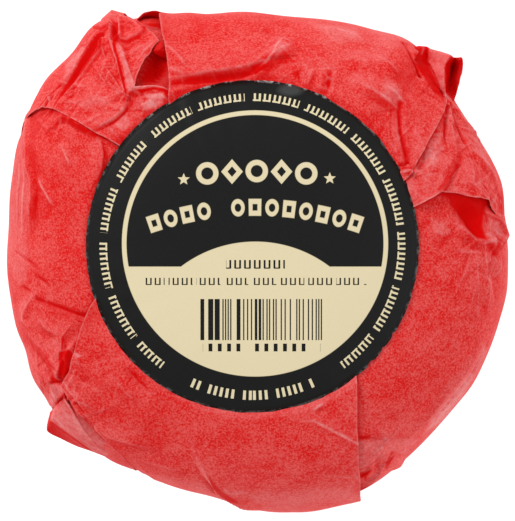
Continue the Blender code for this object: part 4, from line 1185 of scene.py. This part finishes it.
def label_material(settings):
    """Printed paper: black and cream fields, plain marks, and a worn pale edge."""
    graph = Graph(LABEL_FINISH)
    ink = Print(graph)
    distance, _ = ink.polar(*PRINT_SHIFT)
    rim, rim_turn = ink.polar(0, 0)
    inside = ink.soft(distance - (RING_OUTER - RING_WIDTH))
    ring = ink.soft(distance - RING_OUTER) - inside
    arch, _ = ink.polar(*ARCH_CENTRE)
    field = inside * ink.soft(ink.y - FIELD_TOP).most(ink.soft(arch - ARCH_RADIUS))
    cream = (ring + field).cut()

    marks = ink.star(*STARS[0]).most(ink.star(*STARS[1]))
    for number in range(HEADLINE_MARKS):
        place = number - HEADLINE_MARKS // 2
        x = HEADLINE[0] + place * HEADLINE_STEP
        y = HEADLINE[1] - HEADLINE_SAG * place * place
        if number % 2:
            across, up = ink.about(x, y)
            reach = across.size() * LOZENGE_NARROW + up.size()
            outer, inner = HEADLINE_HALF, HEADLINE_HALF * LOZENGE_HOLE
        else:
            reach, _ = ink.polar(x, y)
            outer, inner = HEADLINE_HALF * RING_SIZE, HEADLINE_HALF * RING_HOLE
        marks = marks.most(ink.soft(reach - outer) - ink.soft(reach - inner))
    reach, turn = ink.polar(*LINE_ARC[:2])
    run = turn * LINE_ARC[2]
    cell = ((run / LINE_STEP + 0.5).sum("FRACT") - 0.5) * LINE_STEP
    odd = ((run / LINE_STEP + 0.5).sum("FLOOR") / 2).sum("FRACT").above(0.25)
    tall = (reach - LINE_ARC[2]).size()
    block = cell.size().most(tall * BLOCK_FLAT)
    disc = (cell * cell + tall * tall * DISC_FLAT).sum("SQRT")
    shapes = graph.mix(odd, ink.soft(block - BLOCK_HALF) - ink.soft(block - BLOCK_HOLE),
                       ink.soft(disc - DISC_HALF) - ink.soft(disc - DISC_HOLE))
    gap = (run - LINE_GAP * LINE_STEP).size().below(LINE_STEP / 2)
    row = run.size().below(LINE_HALF * LINE_STEP) * (1 - gap) * tall.below(LINE_HIGH)
    marks = marks.most(graph.node("ShaderNodeSeparateColor", {}, {"Color": shapes}) * row)

    turned = (rim_turn * (180 / math.pi)).size()
    run = rim_turn * RIM_TEXT_RADIUS
    band = (rim - RIM_TEXT_RADIUS).size()
    upper = ink.ticks(run, *UPPER_STROKES) * turned.below(UPPER_SPREAD) * band.below(UPPER_HALF)
    joined = ink.ticks(run + UPPER_FOOT_SHIFT, *UPPER_FOOT_STROKES) * turned.below(UPPER_SPREAD)
    upper = upper.most(joined * (rim - RIM_TEXT_RADIUS + UPPER_FOOT[0]).size().below(UPPER_FOOT[1]))
    lower = ink.ticks(run, *LOWER_STROKES) * turned.above(LOWER_START) * band.below(LOWER_HALF)
    marks = marks.most(upper).most(lower)

    bar = ((ink.x - STRIPES[0]) / STRIPE_WIDTH).sum("FLOOR") * STRIPE_SEED[0] + STRIPE_SEED[1]
    chance = graph.node("ShaderNodeTexWhiteNoise", {"noise_dimensions": "1D"}, {"W": bar})
    middle = (STRIPES[2] + STRIPES[3]) / 2
    width = (STRIPES[1] - STRIPES[0]) / 2
    dark = chance.below(STRIPE_INKED) * ink.box(STRIPES[0] + width, middle, width, middle - STRIPES[3])
    for strokes, place in SMALL_PRINT:
        dark = dark.most(ink.ticks(ink.x, *strokes) * ink.box(*place))

    light = (cream * (1 - dark)).cut().most(marks * (1 - cream))
    grain = graph.noise(ink.where, *INK_GRAIN)
    black = graph.mix(grain, (*settings.ink_black, 1), (*settings.ink_grey, 1))
    paper = graph.mix(grain, (*settings.cream_low, 1), (*settings.cream_high, 1))
    colour = graph.mix(light, black, paper)
    chips = graph.noise(ink.where, *CHIPS)
    top = graph.span(ink.y, *FRAYED_TOP)
    frayed = graph.span(chips, *CHIP_SPAN) * graph.span(rim, *FRAYED_RIM)
    frayed = (frayed * (FRAYED_LEAST + (1 - FRAYED_LEAST) * top)).cut()
    colour = graph.mix(frayed, colour, (*settings.bare_paper, 1))
    across, up = ink.about(*SMUDGE)
    smudge = (across * across * SMUDGE_SHAPE[0] + up * up * SMUDGE_SHAPE[1]).sum("SQRT")
    colour = graph.mix(graph.span(smudge, *SMUDGE_SPAN), colour, SMUDGE_GREY)
    graph.set("Base Color", colour)
    graph.set("Roughness", graph.span(grain, *INK_ROUGHNESS))
    graph.set("Specular IOR Level", INK_SPECULAR)
    graph.set("Normal", graph.node("ShaderNodeBump", {}, {
        "Strength": INK_BUMP, "Distance": INK_BUMP_DEPTH, "Height": grain}))
    return graph.material


def length_setting(name, description, value):
    """A length in millimetres that a user can change."""
    return FloatProperty(name=name, description=description, default=value * MM, unit="LENGTH")


def power_setting(name, description, value):
    """The power of a light, in watts."""
    return FloatProperty(name=name, description=description, default=value, unit="POWER")


def colour_setting(name, description, value):
    """A colour that a user can change."""
    return FloatVectorProperty(name=name, description=description, default=value, subtype="COLOR", size=3)


class PaperSettings(bpy.types.PropertyGroup):
    """Sizes and colours of the red sheet."""

    thickness: length_setting("Thickness", "Thickness of the red sheet", 0.14)
    creases: IntProperty(name="Small creases", description="Small random creases on each side of the sheet",
                         default=460)
    # How much pale pink the worn crests and the painted highlight and sheen get
    wear_and_highlight_mix: FloatProperty(name="Wear", description="How pale the creases are worn", default=0.85,
                        subtype="FACTOR")
    deep_red: colour_setting("Deep red", "Colour where the fibres are dense", (0.87, 0.003, 0.002))
    pale_red: colour_setting("Pale red", "Colour where the fibres are thin", (0.97, 0.118, 0.108))
    # Colour of painted shade, in folds, hollows and beside overlapping edges
    shade_red: colour_setting("Wax red", "Colour deep in a fold", (0.80, 0.001, 0.001))
    # Pale pink of worn crests, and of painted highlight and sheen
    wear_and_highlight_pink: colour_setting("Worn pink", "Colour of a worn crest", (0.99, 0.36, 0.36))


class LabelSettings(bpy.types.PropertyGroup):
    """Sizes and colours of the label."""

    radius: length_setting("Radius", "Radius of the label", LABEL_RADIUS)
    gap: length_setting("Gap", "Height of the label's underside over the plain ball", 0.52)
    thickness: length_setting("Thickness", "Thickness of the label's paper", 0.15)
    ink_black: colour_setting("Ink", "Darkest ink", (0.004, 0.005, 0.004))
    ink_grey: colour_setting("Ink grain", "Lightest ink", (0.011, 0.012, 0.011))
    cream_low: colour_setting("Cream", "Cream field", (0.92, 0.79, 0.49))
    cream_high: colour_setting("Cream grain", "Cream grain", (0.97, 0.845, 0.56))
    bare_paper: colour_setting("Bare paper", "Paper where the ink is rubbed off", (0.62, 0.62, 0.60))


class StageSettings(bpy.types.PropertyGroup):
    """Light and floor."""

    key_power: power_setting("Key light", "Power of the soft light from the upper left", 7.0)
    fill_power: power_setting("Fill light", "Power of the light from the other side", 2.3)
    floor_glow: FloatProperty(name="Floor glow", description="Light that the pale floor gives off",
                              default=1.0)


class CHEESE_OT_core(bpy.types.Operator):
    """Makes the closed body of the wrap, with the sheet's plain middle underneath"""

    bl_idname = "cheese.core"
    bl_label = "Wrap body"

    def execute(self, context):
        deselect_all()
        bpy.ops.mesh.primitive_uv_sphere_add(segments=CORE_SEGMENTS, ring_count=CORE_RINGS, radius=1.0)
        piece = context.object
        unit = read_vertices(piece)
        polar = np.arccos(np.clip(unit[:, 2], -1, 1)) / math.pi * LENGTHS[-1]
        turn = np.arctan2(unit[:, 1], unit[:, 0])
        flat = np.stack([polar * np.cos(turn), polar * np.sin(turn)], axis=-1)
        points, normals = on_ball(flat)
        # The body follows every valley of the sheets over it, so that it never pokes through one
        sunk = tuple(crease for sheet in SHEETS for crease in sheet.folds if crease.height < 0)
        height, worn, deep = relief_of(CORE_FOLDS + sunk, points, normals, CORE_SEED,
                                       context.scene.cheese_paper.creases)
        height -= CORE_SINK * smooth_step(points[:, 2], *SINK_HEIGHTS)
        # Painted shade in the pocket under the crumpled corner
        shade, painted_sheen = shade_of(CORE_HOLLOWS, points)
        deep = np.maximum(deep, shade)
        worn = worn * (1 - shade) + painted_sheen
        foot = smooth_step(points[:, 2], *FOOT_HEIGHTS)
        height = np.where(points[:, 2] > MIDDLE_HEIGHT, np.minimum(height, 0), height) * foot
        points = points + normals * (height * (1 - under_label(points)))[:, None]
        points[:, 2] = np.maximum(points[:, 2], 0)
        write_points(piece, points, worn, deep, normals)
        finish_piece(piece, "wrap_body")
        return {"FINISHED"}


class CHEESE_OT_sides(bpy.types.Operator):
    """Folds the sides and flaps of the paper up over the crown, each a thin sheet of its own"""

    bl_idname = "cheese.sides"
    bl_label = "Sides of the sheet"

    def execute(self, context):
        for sheet in SHEETS:
            self.add_side(context, sheet)
        return {"FINISHED"}

    def add_side(self, context, sheet):
        paper = context.scene.cheese_paper
        deselect_all()
        bpy.ops.mesh.primitive_grid_add(x_subdivisions=sheet.columns, y_subdivisions=sheet.rows, size=2)
        piece = context.object
        unit = read_vertices(piece)
        across = (1 - unit[:, 0]) / 2
        out = np.interp((unit[:, 1] + 1) / 2, [0, FINE_ROWS, 1], [0, FINE_RUN, 1])
        left = along_path(sheet.left_edge, out)
        right = along_path(sheet.right_edge, out)
        flat = left + (right - left) * across[:, None]
        points, normals = on_ball(flat)
        height, worn, deep = relief_of(sheet.folds, points, normals, sheet.seed, paper.creases)
        # Painted shadow beside the free edges of the sheets above, fading towards the rim
        overhang_shadow = shade_beside(sheet.above, points)
        overhang_shadow = overhang_shadow * smooth_step(points[:, 2], RIM_HEIGHT, RIM_HEIGHT + OVERHANG_FADE)
        covered = under_label(points)
        grounded = smooth_step(points[:, 2], *GROUND_HEIGHTS)
        standing = LOW_STANDING + (1 - LOW_STANDING) * smooth_step(points[:, 2], *STAND_HEIGHTS)
        width = np.linalg.norm(right - left, axis=1)
        edge = np.minimum(across, 1 - across) * width
        rubbed = EDGE_WEAR * np.exp(-(edge / EDGE_WIDTH) ** 2) * (LOW_WEAR + (1 - LOW_WEAR) * standing)
        worn = np.clip(worn + rubbed, 0, 1)
        curl = sheet.curl * np.exp(-edge / CURL_REACH)
        lift = (sheet.lift + curl) * standing * (LOW_LIFT + (1 - LOW_LIFT) * grounded)
        lift = lift - FOOT_TUCK * (1 - grounded)
        height = (height * grounded + lift) * (1 - covered) + sheet.lift * COVERED_LIFT * covered
        points = points + normals * height[:, None]
        points[:, 2] = np.maximum(points[:, 2], LOWEST_SHEET)
        # Painted shade in hollows and beside the edges above, and painted sheen
        shade, painted_sheen = shade_of(sheet.hollows, points)
        deep = np.maximum(deep * (1 - painted_sheen), np.maximum(shade, overhang_shadow))
        worn = worn * (1 - shade) + painted_sheen
        write_points(piece, points, worn, deep, normals)
        apply_modifier(piece, "SOLIDIFY", thickness=paper.thickness, offset=-1, use_rim_only=True)
        finish_piece(piece, sheet.name)


class CHEESE_OT_ears(bpy.types.Operator):
    """Makes the slack corners of the sheet that stand out from the ball"""

    bl_idname = "cheese.ears"
    bl_label = "Corner ears"

    def execute(self, context):
        for ear in EARS:
            self.add_ear(context, ear)
        return {"FINISHED"}

    def add_ear(self, context, ear):
        deselect_all()
        bpy.ops.mesh.primitive_grid_add(x_subdivisions=ear.across, y_subdivisions=ear.along, size=2)
        piece = context.object
        unit = read_vertices(piece)
        net = np.array(ear.net)
        down = (unit[:, 1] + 1) / 2 * (len(net) - 1)
        right = (unit[:, 0] + 1) / 2 * (net.shape[1] - 1)
        columns = [blend(net[:, column], down, EAR_ROUNDING) for column in range(net.shape[1])]
        stacked = np.stack(columns, axis=1)
        low = np.clip(np.floor(right).astype(int), 0, net.shape[1] - 2)
        share = (right - low)[:, None]
        every = np.arange(len(unit))
        mixed = stacked[every, low] * (1 - share) + stacked[every, low + 1] * share
        piece.data.vertices.foreach_set("co", mixed[:, :3].ravel())
        piece.data.update()
        normals = read_vertices(piece, "normal")
        height, worn, deep = crumple(mixed[:, :3], normals, ear.seed, ear.creases)
        points = mixed[:, :3] + normals * height[:, None]
        # The net's tone paints highlight with wear below zero and shade above; the patches add painted shade
        # and sheen
        tone = mixed[:, 3]
        shade, painted_sheen = shade_of(ear.hollows, points)
        worn = (worn + np.clip(-tone, 0, 1)) * (1 - shade) + painted_sheen
        deep = np.maximum((deep + np.clip(tone, 0, 1)) * (1 - painted_sheen), shade)
        write_points(piece, points, worn, deep)
        apply_modifier(piece, "SOLIDIFY", thickness=context.scene.cheese_paper.thickness, offset=-1)
        finish_piece(piece, ear.name)


class CHEESE_OT_label(bpy.types.Operator):
    """Lays the round label on the crown"""

    bl_idname = "cheese.label"
    bl_label = "Label"

    rings = 26
    sides = 360
    # Ripples of the cut edge and waves of the paper: height, turns round the label, and start
    ripples = ((0.05, 23, 1), (0.04, 61, 2))
    ripple_swell = 7
    waves = ((0.05, 5, 0.6), (0.04, 11, 0), (0.03, 29, 0))
    # Small nicks in the edge: angle, depth and width
    nicks = ((-31.8, 0.35, 0.8), (-38, 0.3, 0.7), (-44.5, 0.4, 1.0))

    def execute(self, context):
        label = context.scene.cheese_label
        deselect_all()
        bpy.ops.mesh.primitive_circle_add(vertices=self.sides, radius=1.0, fill_type="NOTHING")
        piece = context.object
        bpy.ops.object.mode_set(mode="EDIT")
        bpy.ops.mesh.select_all(action="SELECT")
        for ring in range(self.rings, 1, -1):
            bpy.ops.mesh.extrude_edges_move()
            share = (ring - 1) / ring
            bpy.ops.transform.resize(value=(share, share, 1))
        bpy.ops.mesh.edge_face_add()
        bpy.ops.mesh.select_all(action="SELECT")
        bpy.ops.mesh.normals_make_consistent(inside=False)
        bpy.ops.object.mode_set(mode="OBJECT")
        unit = read_vertices(piece)
        turn = np.arctan2(unit[:, 1], unit[:, 0])
        reach = np.hypot(unit[:, 0], unit[:, 1])
        coarse, fine = (high * np.sin(turn * turns + start) for high, turns, start in self.ripples)
        rough = coarse * np.sin(turn * self.ripple_swell) + fine
        for angle, depth, width in self.nicks:
            apart = np.degrees(turn) - angle
            rough = rough - depth * np.exp(-(apart / width) ** 2)
        radius = reach * (label.radius / MM + rough * smooth_step(reach, 0.9, 1.0))
        x = LABEL_CENTRE[0] + radius * np.cos(turn)
        y = LABEL_CENTRE[1] + radius * np.sin(turn)
        angle = np.degrees(np.arctan2(y, x)) % 360
        share = np.hypot(x, y) / outline_radius(angle)
        crown = MIDDLE_HEIGHT * (1 + height_at(share))
        wave = sum(high * np.sin(turn * turns + start) for high, turns, start in self.waves)
        lift = (label.gap + label.thickness) / MM + wave * smooth_step(reach, 0.6, 1.0)
        points = np.stack([x, y, crown + lift], axis=-1)
        write_points(piece, points, np.zeros(len(points)), np.zeros(len(points)))
        apply_modifier(piece, "SOLIDIFY", thickness=label.thickness, offset=-1)
        finish_piece(piece, "label_disc", LABEL_FINISH, "label")
        return {"FINISHED"}


class CHEESE_OT_materials(bpy.types.Operator):
    """Mixes the red paper and the label's print"""

    bl_idname = "cheese.materials"
    bl_label = "Finishes"

    def execute(self, context):
        paper_material(context.scene.cheese_paper)
        label_material(context.scene.cheese_label)
        return {"FINISHED"}


class CHEESE_OT_stage(bpy.types.Operator):
    """Sets the pale floor, the soft lights and the camera straight above"""

    bl_idname = "cheese.stage"
    bl_label = "Stage"

    # Places and sizes of the lights, and the floor, in metres
    key_place = (-0.72, 0.76, 1.0)
    key_size = 0.5
    fill_place = (0.85, 0.0, 0.9)
    fill_size = 1.0
    floor_size = 6.0
    world_strength = 0.5

    def execute(self, context):
        settings = context.scene.cheese_stage
        self.add_floor(settings)
        self.add_light("key", self.key_place, self.key_size, settings.key_power)
        self.add_light("fill", self.fill_place, self.fill_size, settings.fill_power)
        world = bpy.data.worlds.new("studio")
        world.use_nodes = True
        sky = world.node_tree.nodes["Background"].inputs
        sky["Color"].default_value = (1, 1, 1, 1)
        sky["Strength"].default_value = self.world_strength
        context.scene.world = world
        context.scene.view_settings.view_transform = "Standard"
        lens = bpy.data.cameras.new("camera")
        lens.sensor_width = SENSOR
        lens.lens = FOCAL_PIXELS * SENSOR / PHOTO_HIGH
        camera = bpy.data.objects.new("camera", lens)
        context.scene.collection.objects.link(camera)
        camera.location = (SHIFT_X * MM, SHIFT_Y * MM, CAMERA_HEIGHT * MM)
        context.scene.camera = camera
        return {"FINISHED"}

    def add_floor(self, settings):
        deselect_all()
        bpy.ops.mesh.primitive_plane_add(size=self.floor_size)
        floor = bpy.context.object
        floor.name = "floor"
        graph = Graph("pale_floor")
        graph.set("Base Color", (0.2, 0.2, 0.2, 1))
        graph.set("Roughness", 0.8)
        graph.set("Emission Color", (1, 1, 1, 1))
        graph.set("Emission Strength", settings.floor_glow)
        floor.data.materials.append(graph.material)

    def add_light(self, name, place, size, power):
        light = bpy.data.lights.new(name, "AREA")
        light.shape = "DISK"
        light.size = size
        light.energy = power
        lamp = bpy.data.objects.new(name, light)
        bpy.context.scene.collection.objects.link(lamp)
        lamp.location = place
        away = lamp.location.normalized()
        lamp.rotation_mode = "QUATERNION"
        lamp.rotation_quaternion = away.to_track_quat("Z", "Y")


class CHEESE_PT_panel(bpy.types.Panel):
    """Lists the pieces in the order that they are made"""

    bl_idname = "CHEESE_PT_panel"
    bl_label = "Wrapped cheese"
    bl_space_type = "VIEW_3D"
    bl_region_type = "UI"
    bl_category = "Cheese"

    def draw(self, context):
        for operator in STEPS:
            self.layout.operator(operator.bl_idname)


STEPS = (CHEESE_OT_materials, CHEESE_OT_core, CHEESE_OT_sides, CHEESE_OT_ears, CHEESE_OT_label,
         CHEESE_OT_stage)
GROUPS = {"cheese_paper": PaperSettings, "cheese_label": LabelSettings, "cheese_stage": StageSettings}


def register():
    for group in GROUPS.values():
        bpy.utils.register_class(group)
    for name, group in GROUPS.items():
        setattr(bpy.types.Scene, name, PointerProperty(type=group))
    for step in STEPS:
        bpy.utils.register_class(step)
    bpy.utils.register_class(CHEESE_PT_panel)


def unregister():
    bpy.utils.unregister_class(CHEESE_PT_panel)
    for step in reversed(STEPS):
        bpy.utils.unregister_class(step)
    for name, group in reversed(GROUPS.items()):
        delattr(bpy.types.Scene, name)
        bpy.utils.unregister_class(group)


def main():
    register()
    for step in STEPS:
        group, name = step.bl_idname.split(".")
        getattr(getattr(bpy.ops, group), name)()


if __name__ == "__main__":
    main()
